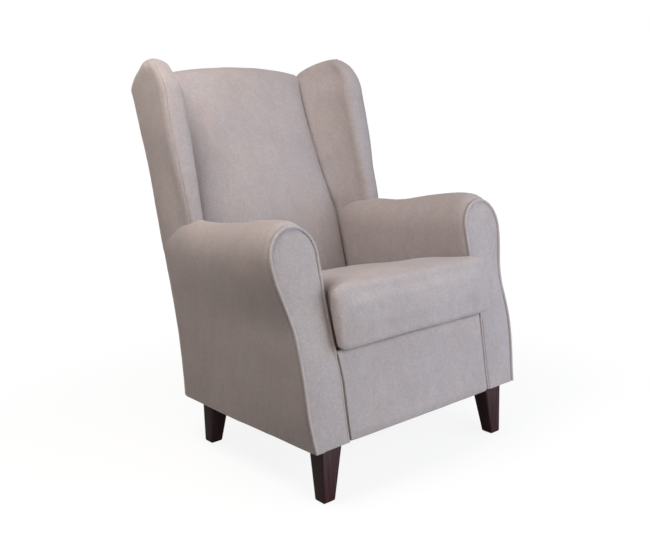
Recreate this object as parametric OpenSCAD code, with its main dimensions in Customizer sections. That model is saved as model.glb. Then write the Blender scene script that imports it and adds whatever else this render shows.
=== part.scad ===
// Fireside chair: a wing armchair with rolled arms, a loose seat cushion and four short legs.
// Millimetres. X runs across with the sitter's left at +X, the front is at -Y and Z is up.
// The origin is on the floor, under the middle of the chair's box.

/* [Overall] */
// Width of an arm at its waist
arm_w = 110; // [100:0.5:125]
// Depth from the foot of the front face to the top of the back
chair_d = 846; // [830:1:880]
// Height of the wing crests
crest_h = 1056; // [1040:1:1090]
// Height of the body's underside above the floor
clear_h = 147; // [125:1:165]
// Lean of the front face, in degrees
front_rake = 11.9; // [10:0.1:13]
// How far each side draws in at its foot
foot_tuck = 8; // [2:1:12]
// Height over which the foot draws in
tuck_rise = 110; // [60:1:150]
// Radius of the upright corners at the rear
corner_r = 65; // [50:1:75]

/* [Arms] */
// Clear width between the arms
seat_w = 512; // [480:1:530]
// Height of the arms at the front
arm_h = 663; // [640:1:680]
// Fall of the arms from the front to the wings
arm_fall = 27; // [10:1:40]
// Height of the roll from its widest line to its top
roll_rise = 85; // [75:1:95]
// Overhang of the roll past the side, at the front
roll_out = 31; // [20:1:40]
// Overhang of the roll past the side, at the rear
roll_out_back = 5; // [2:1:12]
// Height over which the side swells out to the roll
roll_under = 178; // [120:1:200]

/* [Wings] */
// Thickness of a wing at its front edge
wing_t = 74; // [64:1:84]
// Height where the wing's front edge leaves the arm
wing_foot_h = 629; // [615:1:640]
// Depth of a wing at that height, front to rear
wing_w = 175.5; // [160:0.5:190]
// Lean of the wing's front edge, in degrees
wing_lean = 12.7; // [9:0.1:15]
// Fall of the seam between wing and arm, in degrees
wing_seam_fall = 22.5; // [15:0.5:26]
// Height of the rounded front corner of the crest
crest_front_h = 98; // [80:1:110]
// Height of the crest's slope down to the rear
crest_rear_h = 82; // [70:1:95]
// Distance of the crest's peak in front of the back's highest edge
crest_set = 148; // [138:1:160]
// How far each side draws in from the arm to the crest
crest_tuck = 14; // [4:1:18]
// Rounding over the crest
crest_r = 30; // [20:1:36]

/* [Back] */
// Distance of the back's middle below the wing crests
arch_drop = 15; // [8:1:30]
// Fall of the back's arch at the wings
arch_fall = 22; // [10:1:30]
// Radius of the back's curve, seen from the side
back_r = 2350; // [2200:10:2600]
// Gap between the inside back and each arm at the seat
pad_side = 1; // [0.5:0.5:8]
// How much narrower the inside back is at its top
pad_narrowing = 60; // [40:1:80]
// Thickness of the back at the seat, through its middle
pad_t_foot = 100; // [90:1:110]
// Thickness of the back at its top, through its middle
pad_t_top = 82; // [74:1:92]
// Depth of the groove beside the wings, from the outside back
groove_t = 56; // [50:1:62]

/* [Seat] */
// Distance of the cushion's lower front edge behind the foot of the front face
cushion_set = 11; // [8:1:20]
// Height of the cushion's lower front edge
seat_front_h = 364; // [350:1:375]
// Slope of the seat, in degrees
seat_pitch = 9.3; // [7:0.1:10]
// Thickness of the cushion at its border
cushion_t = 138; // [125:1:145]
// Gap between the cushion and the inside back
back_gap = 5.5; // [4:0.5:12]
// Gap between the cushion and each arm
cushion_gap = 6; // [5:0.5:9]
// How far the cushion's front corners stand past the arms' inner faces
ear_out = 16; // [6:1:20]
// Length of the wider front part
ear_l = 22; // [14:1:22]
// Bulge of the cushion's front face
nose_crown = 16; // [8:1:18]
// Crown of the cushion's top
top_crown = 14; // [6:1:20]
// How far the cushion's sides draw in between the corners
side_draw = 3; // [1:0.5:5]
// Thickness of the cushion's cover
cover_t = 2.4; // [1.5:0.1:4]
// Radius of the cushion's long edges
edge_r = 28; // [18:1:36]
// Thickness of the padded deck under the cushion
deck_t = 24; // [18:1:30]

/* [Legs] */
// Width of a leg at its top
leg_top = 53; // [46:1:58]
// Width of a leg at its foot
leg_foot = 34; // [28:1:40]
// Distance of the legs' outer faces inside the body's sides
leg_side_set = 43; // [40:1:55]
// Distance of the front legs behind the front face's foot
leg_front_set = 22; // [18:1:30]
// Distance of the rear legs in front of the back's foot
leg_rear_set = 64; // [60:1:72]
// Thickness of a foot glide
glide_t = 3; // [2:0.5:5]
// Diameter of a foot glide
glide_d = 22; // [16:1:26]
// Diameter of a glide's nail
nail_d = 2.6; // [2:0.1:3]
// Length of a glide's nail
nail_l = 14; // [8:1:20]
// Diameter of a leg bolt
bolt_d = 8; // [6:1:10]
// Distance of a leg bolt inside its leg's front or rear face
bolt_set = 37; // [34:0.5:42]
// Depth of a leg bolt in its leg
bolt_in = 45; // [30:1:60]

/* [Timber] */
// Thickness of the rails and posts
board_t = 28; // [24:1:30]
// Thickness of the wing boards
wing_board_t = 20; // [16:1:21]
// Height of the side rails
rail_h = 110; // [90:1:130]
// Thickness of a corner block
block_h = 40; // [30:1:60]
// Thickness of the back frame, front to rear
frame_t = 32; // [26:1:34]
// Distance of the back posts inside the rear face
post_set = 15; // [15:0.5:18]
// Height of the back's top and lower rails
back_rail_h = 70; // [50:1:80]
// Thickness of an arm's top rail
arm_rail_t = 22; // [16:1:26]

/* [Upholstery] */
// Thickness of the facings on the arm fronts and the front rail
facing_t = 10; // [8:1:14]
// Step of a facing inside the arm's outline
facing_step = 3; // [2:0.5:4]
// Diameter of the piping round the arm fronts
piping_d = 8; // [6:0.5:9]
// Padding on the inner face of an arm
arm_pad_in = 28; // [22:1:30]
// Padding over the top of an arm
arm_pad_top = 26; // [20:1:32]
// Padding at the outer edge of the roll
arm_pad_out = 12; // [8:1:14]
// Thickness of the outside arm
arm_panel_t = 16; // [15:0.5:18]
// Thickness of the outside back
back_panel_t = 6; // [4:1:7]
// Distance of the outside back's top edge below the arch
back_hem = 12; // [8:1:20]
// Padding over the top rail of the back
crest_pad = 38; // [30:1:44]
// Thickness of the dust cover
dust_t = 1.2; // [0.8:0.1:2]
// Width of a webbing strap
strap_w = 50; // [40:1:60]
// Thickness of a webbing strap
strap_t = 1.6; // [1:0.1:2]
// Number of webbing straps
straps = 5; // [3:1:6]

/* [Springs] */
// Number of zigzag springs
springs = 4; // [3:1:5]
// Diameter of the spring wire
wire_d = 3.8; // [3:0.1:4.5]
// Width of a spring across its bends
spring_w = 50; // [40:1:60]
// Number of cross bars in a spring
bars = 18; // [14:1:20]
// Width of a spring clip
clip_w = 14; // [10:1:16]
// Thickness of a spring clip
clip_t = 1.2; // [1:0.1:1.5]

/* [Hidden] */
$fn = 48;

fabric = "#b3aaa7";
fabric_light = "#bdb5b2";
beech = "#d9b98c";
wenge = "#3b2422";
steel = "#b9bcc0";
foam = "#efe6c8";
felt = "#33312f";
jute = "#c9b58c";

// Running gap between pieces that are fitted but not fixed face to face
fit_gap = 0.3;
// Overrun of cutting tools past the faces that they cut
over = 5;
// Gap between the inside back and what stands beside it
pad_gap = 0.7;
// Gap between an arm post and the swelling side in front of it
post_gap = 2;
// Diameter of the threaded barrel of a tee nut, and of its flange
barrel_d = bolt_d + 2.4;
flange_d = bolt_d * 2.6;
flange_t = 1.5;
barrel_l = 13;

// Widths, heights and depths that several pieces share
body_w = seat_w + 2 * arm_w;
panel_x = body_w / 2 - arm_panel_t;
leg_x = body_w / 2 - leg_side_set;
pad_w_foot = seat_w - 2 * pad_side;
pad_w_top = pad_w_foot - pad_narrowing;
foot_y = -chair_d / 2;
arch_h = crest_h - arch_drop;
back_hem_h = arch_h - back_hem;
back_cy = chair_d / 2 + sqrt(back_r * back_r - back_hem_h * back_hem_h);
roll_h = arm_h - roll_rise;
seat_y = foot_y + cushion_set;
face_dy = facing_t / cos(front_rake);
wing_foot_y = back_y(wing_foot_h) - wing_w;
crest_y = chair_d / 2 - crest_set;
clip_r = wire_d / 2 + fit_gap / 3 + clip_t;
wire_drop = 2 * fit_gap + deck_t + clip_r;
rail_drop = wire_drop + clip_r;
arm_in = seat_w / 2;
arm_core = arm_in + arm_pad_in;
rail_x = panel_x - board_t;
post_x = rail_x - board_t;
frame_front = back_panel_t + frame_t;
pad_back = frame_front + strap_t + pad_gap + fit_gap;
post_depth = (facing_t + board_t) / cos(front_rake);
post_share = (board_t + fit_gap) / (back_y(roll_h) - corner_r - front_y(roll_h));
half_cushion = arm_in - cushion_gap;
pad_low = seat_z(back_y(clear_h) - pad_t_foot) + pad_gap;
cushion_mid_z = pad_low + cushion_t / 2;
cushion_rear_y = back_y(cushion_mid_z) - pad_front_t(0, cushion_mid_z);
cushion_l = (cushion_rear_y - seat_y - cushion_t / 2 * sin(seat_pitch)) / cos(seat_pitch) - back_gap;
half_turn = 180;

// How many points the curved outlines have, and where along its length a form is drawn
roll_steps = 14;
wall_steps = 9;
crest_steps = 8;
corner_steps = 5;
arm_share = [0, 0.12, 0.35, 0.62, 0.85, 1];
pad_share = [-1, -0.96, -0.86, -0.6, -0.3, 0, 0.3, 0.6, 0.86, 0.96, 1];

function ease(v) = let (c = min(1, max(0, v))) c * c * (3 - 2 * c);
function mix(a, b, s) = a + (b - a) * s;
function flip(list) = [for (i = [len(list) - 1:-1:0]) list[i]];

// Planes and curves that the whole body follows; a layer of the back lies t in front of its rear face
function front_y(z) = foot_y + (z - clear_h) * tan(front_rake);
function back_at(z, t) = back_cy - sqrt(pow(back_r + t, 2) - z * z);
function back_y(z) = back_at(z, 0);
function seat_z(y) = seat_front_h - (y - seat_y) * tan(seat_pitch);
function side_x(z) = body_w / 2
    - foot_tuck * pow(max(0, (clear_h + tuck_rise - z) / tuck_rise), 2)
    - crest_tuck * max(0, (z - arm_h) / (crest_h - arm_h));
function side_edge(y, z) = let (d = min(corner_r, max(0, y - back_y(z) + corner_r)))
    side_x(z) - corner_r + sqrt(corner_r * corner_r - d * d);
function arch_z(x) = arch_h - arch_fall * pow(2 * x / pad_w_top, 2);
function back_share(z) = (z - pad_low) / (arch_h - pad_low);
function pad_x(z) = mix(pad_w_foot, pad_w_top, back_share(z)) / 2;
function seam_z(y) = wing_foot_h - (y - wing_foot_y) * tan(wing_seam_fall);

// The arm's roll: its widest line, its overhang and the swell of the side below it
function arm_y(s, z) = mix(front_y(z) + face_dy, back_y(z) - corner_r, s);
function roll_z(s) = roll_h - arm_fall * s;
function roll_over(s) = mix(roll_out, roll_out_back, s);
function swell(z, s) = ease((z - roll_z(s) + roll_under) / roll_under);
function outer_x(z, s) = side_x(z) + roll_over(s) * swell(z, s);
function inner_x(z, s) = mix(panel_x, side_x(roll_h) + roll_over(s) - arm_pad_out, swell(z, s));

// Solid from a list of closed rings that all have the same number of points
function walls(n, m) = [for (k = [0:m - 2]) for (i = [0:n - 1]) let (j = (i + 1) % n)
    each [[k * n + i, k * n + j, (k + 1) * n + i], [k * n + j, (k + 1) * n + j, (k + 1) * n + i]]];
module loft(rings) {
    n = len(rings[0]);
    m = len(rings);
    first = [for (i = [n - 1:-1:0]) i];
    last = [for (i = [0:n - 1]) (m - 1) * n + i];
    polyhedron([for (ring = rings) each ring], concat([first, last], walls(n, m)));
}

// The same for a bent form, whose rings run along one face and back along the other
module sheet_loft(rings) {
    n = len(rings[0]);
    m = len(rings);
    o = (m - 1) * n;
    first = [for (i = [0:n / 2 - 2]) each [[i + 1, i, n - 1 - i], [i + 1, n - 1 - i, n - 2 - i]]];
    last = [for (i = [0:n / 2 - 2])
        each [[o + i, o + i + 1, o + n - 1 - i], [o + i + 1, o + n - 2 - i, o + n - 1 - i]]];
    polyhedron([for (ring = rings) each ring], concat(first, last, walls(n, m)));
}

// Round tube along a list of points, with its rings square to the path
function unit(v) = v / norm(v);
function tangent(path, i) = unit(path[min(i + 1, len(path) - 1)] - path[max(i - 1, 0)]);
module sweep_tube(path, r, sides, across) {
    loft([for (i = [0:len(path) - 1])
        let (t = tangent(path, i), u = unit(cross(t, across)), v = cross(u, t))
        [for (k = [0:sides - 1]) let (a = 360 * k / sides) path[i] + r * (cos(a) * u + sin(a) * v)]]);
}

// Places: on the raked front, on the sloping seat, and outlines drawn in side or front view
module on_front() translate([0, foot_y, clear_h]) rotate([-front_rake, 0, 0]) children();
module on_seat() translate([0, seat_y, seat_front_h]) rotate([-seat_pitch, 0, 0]) children();
module side_view(x, w) translate([x, 0, 0]) rotate([90, 0, 90]) linear_extrude(w) children();
module front_view(y, d) translate([0, y + d, 0]) rotate([90, 0, 0]) linear_extrude(d) children();
module both_sides() {
    children();
    mirror([1, 0, 0]) children();
}
module on_side(left) mirror([left ? 0 : 1, 0, 0]) children();

// Side view of a layer of the back, from t0 to t1 in front of the outside back
module back_layer(t0, t1, z0, z1) {
    intersection() {
        difference() {
            translate([back_cy, 0]) circle(back_r + t1, $fn = 360);
            translate([back_cy, 0]) circle(back_r + t0, $fn = 360);
        }
        translate([-chair_d, z0]) square([2 * chair_d, z1 - z0]);
    }
}

// Front view of everything below the arch, less a margin
module under_arch(margin) {
    polygon(concat([[rail_x, 0], [-rail_x, 0]],
        [for (i = [-crest_steps:crest_steps]) let (x = rail_x * i / crest_steps) [x, arch_z(x) - margin]]));
}

// Plan of the space inside the body's skin at its foot, with round rear corners
module inner_plan(gap) {
    x = side_x(clear_h) - corner_r;
    y = back_y(clear_h) - corner_r;
    right = concat([[panel_x - gap, foot_y]], [for (i = [0:corner_steps]) let (a = 90 * i / corner_steps)
        [x + (panel_x - gap - x) * cos(a), y + (corner_r - back_panel_t - gap) * sin(a)]]);
    polygon(concat(right, [for (p = flip(right)) [-p[0], p[1]]]));
}

// Legs and what fastens them
function leg_places() = [[leg_x, foot_y + leg_front_set, 1], [leg_x, back_y(clear_h) - leg_rear_set, -1]];

// A leg tapers on its two inner faces only; inward is the direction of its inner face along Y
module leg(place) {
    x = place[0];
    y = place[1];
    inward = place[2];
    color(wenge) difference() {
        intersection() {
            front_view(y - leg_top * 2, leg_top * 4) polygon([[x, glide_t], [x, clear_h],
                [x - leg_top, clear_h], [x - leg_foot, glide_t]]);
            side_view(x - leg_top * 2, leg_top * 4) polygon([[y, glide_t], [y, clear_h],
                [y + inward * leg_top, clear_h], [y + inward * leg_foot, glide_t]]);
        }
        bolt_axis(place) translate([0, 0, clear_h - bolt_in - fit_gap])
            cylinder(d = bolt_d + fit_gap, h = bolt_in + over);
        nail_axis(place) translate([0, 0, glide_t - over])
            cylinder(d = nail_d + fit_gap, h = nail_l + over + fit_gap);
    }
}
module bolt_axis(place) translate([place[0] - leg_top / 2, place[1] + place[2] * bolt_set, 0]) children();
module nail_axis(place)
    translate([place[0] - leg_foot / 2, place[1] + place[2] * leg_foot / 2, 0]) children();

module foot_glides() {
    color(steel) both_sides() for (place = leg_places()) nail_axis(place) {
        rotate_extrude() polygon([[0, 0], [(glide_d - glide_t) / 2, 0], [glide_d / 2, glide_t / 2],
            [glide_d / 2, glide_t], [nail_d / 2, glide_t], [nail_d / 2, nail_l], [0, nail_l + nail_d]]);
    }
}

module leg_bolts() {
    color(steel) both_sides() for (place = leg_places()) bolt_axis(place)
        translate([0, 0, clear_h - bolt_in]) cylinder(d = bolt_d, h = bolt_in + block_h + flange_t);
}

module tee_nuts() {
    color(steel) both_sides() for (place = leg_places()) bolt_axis(place) difference() {
        translate([0, 0, clear_h + block_h]) {
            cylinder(d = flange_d, h = flange_t);
            translate([0, 0, -barrel_l]) cylinder(d = barrel_d, h = barrel_l + flange_t / 2);
        }
        cylinder(d = bolt_d + fit_gap, h = crest_h);
    }
}

// A block fills the corner between a side rail and the front or rear rail
module corner_blocks() {
    front = front_y(clear_h) + post_depth + block_h * tan(front_rake);
    rear = back_y(clear_h) - frame_front - fit_gap;
    color(beech) both_sides() for (place = leg_places()) {
        wall = place[2] > 0 ? front : rear;
        end = place[1] + place[2] * leg_top * 1.3;
        difference() {
            translate([0, 0, clear_h]) linear_extrude(block_h) polygon([[rail_x, wall], [rail_x, end],
                [rail_x - leg_top / 3, end], [rail_x - leg_top * 1.2, mix(end, wall, 1 / 3)],
                [rail_x - leg_top * 1.2, wall]]);
            bolt_axis(place) cylinder(d = barrel_d + fit_gap, h = crest_h);
        }
    }
}

// Seat frame
module front_rail() {
    z1 = seat_front_h - rail_drop;
    color(beech) difference() {
        on_front() translate([-arm_core, facing_t, 0]) cube([2 * arm_core, board_t, z1]);
        on_seat() translate([-body_w, -chair_d, -rail_drop]) cube([2 * body_w, 2 * chair_d, crest_h]);
        translate([-body_w, -chair_d, clear_h - crest_h]) cube([2 * body_w, 2 * chair_d, crest_h]);
    }
}

module rear_rail() {
    color(beech) difference() {
        side_view(-post_x, 2 * post_x)
            back_layer(back_panel_t, frame_front, clear_h, seat_front_h);
        on_seat() translate([-body_w, -chair_d, -rail_drop]) cube([2 * body_w, 3 * chair_d, crest_h]);
    }
}

module side_rail(left) {
    front = front_y(clear_h) + post_depth;
    color(beech) on_side(left) intersection() {
        side_view(rail_x, board_t - fit_gap) polygon([[front, clear_h],
            [front + rail_h * tan(front_rake), clear_h + rail_h], [chair_d, clear_h + rail_h],
            [chair_d, clear_h]]);
        linear_extrude(crest_h) inner_plan(fit_gap);
    }
}

// Arm frame: a scroll-shaped front post and a flat rail under the roll
function arm_top_outline(grow_in, grow_out, grow_top, s) =
    let (x0 = arm_in - grow_in, x1 = side_x(roll_h) + roll_over(s) + grow_out, a = (x1 - x0) / 2)
    [for (i = [0:roll_steps]) let (t = half_turn * (1 - i / roll_steps))
        [x0 + a + a * cos(t), roll_z(s) + (roll_rise + grow_top) * sin(t)]];
function on_rake(p) = [p[0], (p[1] - clear_h) / cos(front_rake)];

module arm_post(left) {
    fall = board_t * sin(front_rake);
    wall = [for (i = [1:wall_steps]) let (z = mix(roll_h, clear_h, i / wall_steps))
        [inner_x(z - fall, post_share) - post_gap, z]];
    top = arm_top_outline(-arm_pad_in - fit_gap, -arm_pad_out - post_gap, -arm_pad_top - fit_gap,
        post_share);
    outline = [for (p = concat([[arm_core + fit_gap, clear_h]], top, wall)) on_rake(p)];
    color(beech) on_side(left) difference() {
        on_front() translate([0, facing_t + board_t, 0]) rotate([90, 0, 0]) linear_extrude(board_t)
            polygon(outline);
        translate([0, -chair_d, clear_h - crest_h]) cube([body_w, 2 * chair_d, crest_h]);
    }
}

module arm_rail_view(z_low) {
    y0 = front_y(roll_h) + post_depth;
    y1 = back_y(roll_h);
    high = roll_z(post_share) + arm_rail_t;
    difference() {
        polygon([[y0 - (roll_h - z_low) * tan(front_rake), z_low],
            [y0 + (high - roll_h) * tan(front_rake), high], [y1, roll_z(1) + arm_rail_t],
            [y1, z_low - arm_fall]]);
        translate([back_cy, 0]) circle(back_r + frame_front, $fn = 360);
    }
}

module arm_rail(left) {
    x = rail_x - wing_board_t;
    color(beech) on_side(left) side_view(x, panel_x - over - x) arm_rail_view(roll_z(post_share));
}

// Back frame: two curved posts, an arched top rail and a lower rail
module back_post(left) {
    color(beech) on_side(left) side_view(post_x, board_t)
        back_layer(post_set, frame_front, clear_h, arch_z(rail_x) - crest_pad);
}

module back_top_rail() {
    color(beech) intersection() {
        side_view(-post_x, 2 * post_x)
            back_layer(back_panel_t, frame_front, arch_z(post_x) - crest_pad - back_rail_h, crest_h);
        front_view(-chair_d, 3 * chair_d) under_arch(crest_pad);
    }
}

module back_lower_rail() {
    color(beech) side_view(-post_x, 2 * post_x)
        back_layer(back_panel_t, frame_front, seat_front_h - back_rail_h / 2,
            seat_front_h + back_rail_h / 2);
}

// Wing outline in side view: the front edge, the crest and the slope down to the back
lean_top = crest_h - crest_front_h;
lean_y = wing_foot_y + (lean_top - wing_foot_h) * tan(wing_lean);
front_bow = 1.6;
rear_bow = 1.4;
function bow(k, p) = pow(max(0, 1 - pow(max(0, k), p)), 1 / p);
function wing_front(z) = z < lean_top
    ? wing_foot_y + (z - wing_foot_h) * tan(wing_lean)
    : crest_y - (crest_y - lean_y) * bow((z - lean_top) / crest_front_h, front_bow);
function wing_rear(z) = let (low = crest_h - crest_rear_h)
    z < low ? back_y(z) : crest_y + (back_y(low) - crest_y) * bow((z - low) / crest_rear_h, rear_bow);

// Side view of a wing board, which stands on the arm's rail and butts against the back post
module board_outline(gap) {
    inset = crest_r - gap;
    z_low = roll_z(1) + arm_rail_t;
    high = crest_h - inset;
    tops = [for (i = [1:crest_steps]) mix(lean_top, high, i / crest_steps)];
    front = [for (z = tops) let (k = (z - lean_top) / (high - lean_top))
        [crest_y - (crest_y - lean_y - inset) * bow(k, front_bow), z]];
    low = crest_h - crest_rear_h - inset;
    rears = [for (i = [1:crest_steps]) mix(low, high, i / crest_steps)];
    rear = [for (z = flip(rears)) let (k = (z - low) / (high - low))
        [crest_y + (back_y(low) - crest_y) * bow(k, rear_bow), z]];
    difference() {
        polygon(concat([[back_y(low), z_low], [wing_front(z_low) + inset, z_low],
            [lean_y + inset, lean_top]], front, rear, [[back_y(low), low]]));
        translate([back_cy, 0]) circle(back_r + frame_front, $fn = 360);
        arm_rail_view(clear_h);
    }
}

module wing_board(left) {
    color(beech) on_side(left) side_view(rail_x - wing_board_t, wing_board_t) board_outline(0);
}

// Springs and webbing
function on_slope(y) = (y - seat_y + wire_drop * sin(seat_pitch)) / cos(seat_pitch);
spring_front = on_slope(front_y(seat_front_h - rail_drop) + (facing_t + board_t / 2) / cos(front_rake));
spring_rear = on_slope(back_y(seat_z(back_y(clear_h)) - rail_drop) - back_panel_t - frame_t / 2);
bar_step = (spring_rear - spring_front) / (bars - 1);
spring_step = 2 * half_cushion / (springs + 0.4);
function spring_x(i) = (i - (springs - 1) / 2) * spring_step;

bend_rings = 5;
function zigzag_path() = let (r = bar_step / 2, reach = (spring_w - wire_d) / 2 - r)
    concat([[-reach, 0, 0]],
        [for (i = [0:bars - 2]) for (k = [0:bend_rings - 1])
            let (a = 180 * k / (bend_rings - 1), turn = i % 2 == 0 ? 1 : -1)
            [turn * (reach + r * sin(a)), (i + 0.5) * bar_step - r * cos(a), 0]],
        [[(bars % 2 == 0 ? -1 : 1) * reach, (bars - 1) * bar_step, 0]]);

module seat_springs() {
    color(steel) on_seat() for (i = [0:springs - 1])
        translate([spring_x(i), spring_front, -wire_drop])
            sweep_tube(zigzag_path(), wire_d / 2, 6, [0, 0, 1]);
}

// A clip is a strip that curls over the last bar of a spring and lies on the rail
module spring_clips() {
    strip = board_t * 0.4;
    color(steel) on_seat() for (i = [0:springs - 1]) for (end = [0, 1])
        translate([spring_x(i) - clip_w / 2, end == 0 ? spring_front : spring_rear, -wire_drop])
            mirror([0, end, 0]) side_view(0, clip_w) difference() {
                union() {
                    circle(clip_r, $fn = 36);
                    translate([-strip, -clip_r]) square([strip, clip_t]);
                }
                circle(clip_r - clip_t, $fn = 36);
                translate([0, clip_t - clip_r]) square([clip_r * 2, (clip_r - clip_t / 2)]);
            }
}

module back_webbing() {
    strap_x = rail_x - wing_board_t - fit_gap;
    low = seat_front_h + back_rail_h / 2 + strap_w / 2;
    high = arch_z(post_x) - crest_pad - back_rail_h - strap_w * 1.4;
    color(jute) for (i = [0:straps - 1]) let (z = mix(low, high, i / (straps - 1)))
        side_view(-strap_x, 2 * strap_x)
            back_layer(frame_front, frame_front + strap_t, z, z + strap_w);
}

// Seat deck, front border and dust cover
module seat_deck() {
    front = front_y(seat_front_h) + post_depth;
    color(fabric) intersection() {
        on_seat() translate([-arm_in + fit_gap, 0, -deck_t - fit_gap])
            cube([2 * (arm_in - fit_gap), chair_d, deck_t]);
        translate([-body_w, front, clear_h])
            cube([2 * body_w, back_y(seat_front_h) - frame_front - fit_gap - front, crest_h]);
    }
}

// The border wraps over the front rail; meet_z is where the raked plane dy behind the front face
// meets the level a distance below the seat
function meet_z(dy, below) = (seat_front_h - below / cos(seat_pitch)
    - (foot_y + dy - clear_h * tan(front_rake) - seat_y) * tan(seat_pitch))
    / (1 + tan(front_rake) * tan(seat_pitch));
module front_border() {
    r = facing_t * 1.4;
    nose_dy = r / cos(front_rake);
    nose_z = meet_z(nose_dy, fit_gap + r);
    turn = 90 + seat_pitch - front_rake;
    low = fit_gap + deck_t;
    rear = post_depth - fit_gap;
    color(fabric_light) side_view(fit_gap - arm_in, 2 * (arm_in - fit_gap)) polygon(concat(
        [for (z = [meet_z(face_dy, low), clear_h]) [front_y(z) + face_dy, z]],
        [[front_y(clear_h), clear_h]],
        [for (i = [0:corner_steps]) let (a = 180 - front_rake - turn * i / corner_steps)
            [front_y(nose_z) + nose_dy + r * cos(a), nose_z + r * sin(a)]],
        [for (below = [fit_gap, low]) let (z = meet_z(rear, below)) [front_y(z) + rear, z]]));
}

module dust_cover() {
    color(felt) translate([0, 0, clear_h - dust_t]) linear_extrude(dust_t) difference() {
        intersection() {
            inner_plan(fit_gap);
            translate([-panel_x, foot_y + facing_t]) square([2 * panel_x, chair_d]);
        }
        for (side = [-1, 1]) for (place = leg_places())
            translate([side * (place[0] - leg_top / 2), place[1] + place[2] * leg_top / 2])
                square(leg_top + 2 * fit_gap, center = true);
    }
}

// Arm cover: the padded inside arm and the roll, down to the roll's widest line
function arm_ring(s, last) =
    let (y_nom = arm_y(s, seat_front_h), hem = seat_z(y_nom) - (deck_t + 2 * fit_gap) / cos(seat_pitch),
        outer = concat([[arm_in, hem]], arm_top_outline(0, 0, 0, s)),
        inner = concat(flip(arm_top_outline(-arm_pad_in, -arm_pad_out, -arm_pad_top, s)),
            [[arm_core, hem]]))
    [for (p = concat(outer, inner)) let (y = last ? arm_end_y(p[1]) : arm_y(s, p[1]),
        d = side_edge(y, roll_h) - side_x(roll_h), w = max(0, (p[0] - rail_x) / (side_x(roll_h) - rail_x)))
        [p[0] + d * min(1, w), y, p[1]]];
arm_end_t = corner_r - (corner_r - back_panel_t) * sin(90 / corner_steps) + pad_gap + fit_gap;
function arm_end_y(z) = let (z0 = roll_z(1), z1 = wing_foot_h)
    mix(back_y(z0), back_y(z1), (z - z0) / (z1 - z0)) - arm_end_t;

module below_seam(shift) {
    side_view(-body_w, 2 * body_w) polygon([[-chair_d, seam_z(-chair_d) - shift],
        [chair_d, seam_z(chair_d) - shift], [chair_d, -chair_d], [-chair_d, -chair_d]]);
}

// The wing stands on the arm: what it takes out of the arm cover, above the seam between the two
module wing_seat() {
    difference() {
        loft([for (s = wing_share) seat_ring(mix(wing_low, lean_top, s))]);
        below_seam(fit_gap / 2);
    }
}

module arm_cover(left) {
    color(fabric) on_side(left) difference() {
        sheet_loft(concat([arm_ring(1, true)], [for (s = flip(arm_share)) arm_ring(s, false)]));
        wing_seat();
        side_view(rail_x - wing_board_t - fit_gap, wing_board_t + 2 * fit_gap) board_outline(fit_gap);
    }
}

// Outside arm: the side panel, from its foot to the roll and round the rear corner
wall_share = [0, 0.14, 0.3, 0.42, 0.56, 0.68, 0.8, 0.9, 1];
function outside_column(outer, inner) = concat(outer, flip(inner));
function wall_z(top) = [for (v = wall_share) mix(clear_h, top, v)];
function flat_column(s) = let (levels = wall_z(roll_z(s) - fit_gap)) outside_column(
    [for (z = levels) [outer_x(z, s), arm_y(s, z), z]], [for (z = levels) [inner_x(z, s), arm_y(s, z), z]]);
function turned_column(i) = let (a = 90 * i / corner_steps,
    levels = wall_z(i > 1 ? wing_foot_h : roll_z(1) - fit_gap)) outside_column(
    [for (z = levels) let (x = side_x(z) - corner_r, y = back_y(z) - corner_r)
        [x + (corner_r + roll_out_back * swell(z, 1) * cos(a)) * cos(a), y + corner_r * sin(a), z]],
    [for (z = levels) let (x = side_x(z) - corner_r, y = back_y(z) - corner_r)
        [x + (inner_x(z, 1) - x) * cos(a), y + (corner_r - back_panel_t) * sin(a), z]]);

module outside_arm(left) {
    color(fabric) on_side(left) intersection() {
        sheet_loft(concat([for (s = arm_share) flat_column(s)],
            [for (i = [1:corner_steps]) turned_column(i)]));
        below_seam(fit_gap / 2);
    }
}

// Facing of the arm front, and the piping round its edge
module arm_facing(left) {
    outline = concat([[arm_in + facing_step, clear_h]],
        arm_top_outline(-facing_step, -facing_step, -facing_step, 0),
        [for (i = [1:wall_steps]) let (z = mix(roll_h, clear_h, i / wall_steps))
            [outer_x(z, 0) - facing_step, z]]);
    color(fabric_light) on_side(left) intersection() {
        on_front() translate([0, facing_t, 0]) rotate([90, 0, 0]) linear_extrude(facing_t)
            polygon([for (p = outline) on_rake(p)]);
        translate([0, -chair_d, clear_h]) cube([body_w, 2 * chair_d, crest_h]);
    }
}

module arm_piping(left) {
    out = piping_d / 2 + fit_gap - facing_step;
    low = seat_front_h + cushion_t;
    rise = [for (i = [0:2]) let (z = mix(low, roll_h, i / 3)) [arm_in - out, z]];
    fall = [for (i = [1:wall_steps]) let (z = mix(roll_h, clear_h + piping_d / 2, i / wall_steps))
        [outer_x(z, 0) + out, z]];
    path = concat(rise, arm_top_outline(out, out, out, 0), fall);
    color(fabric_light) on_side(left) on_front() translate([0, facing_t - piping_d / 2 - fit_gap, 0])
        sweep_tube([for (p = path) let (q = on_rake(p)) [q[0], 0, q[1]]], piping_d / 2, 8, [0, 1, 0]);
}

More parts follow.
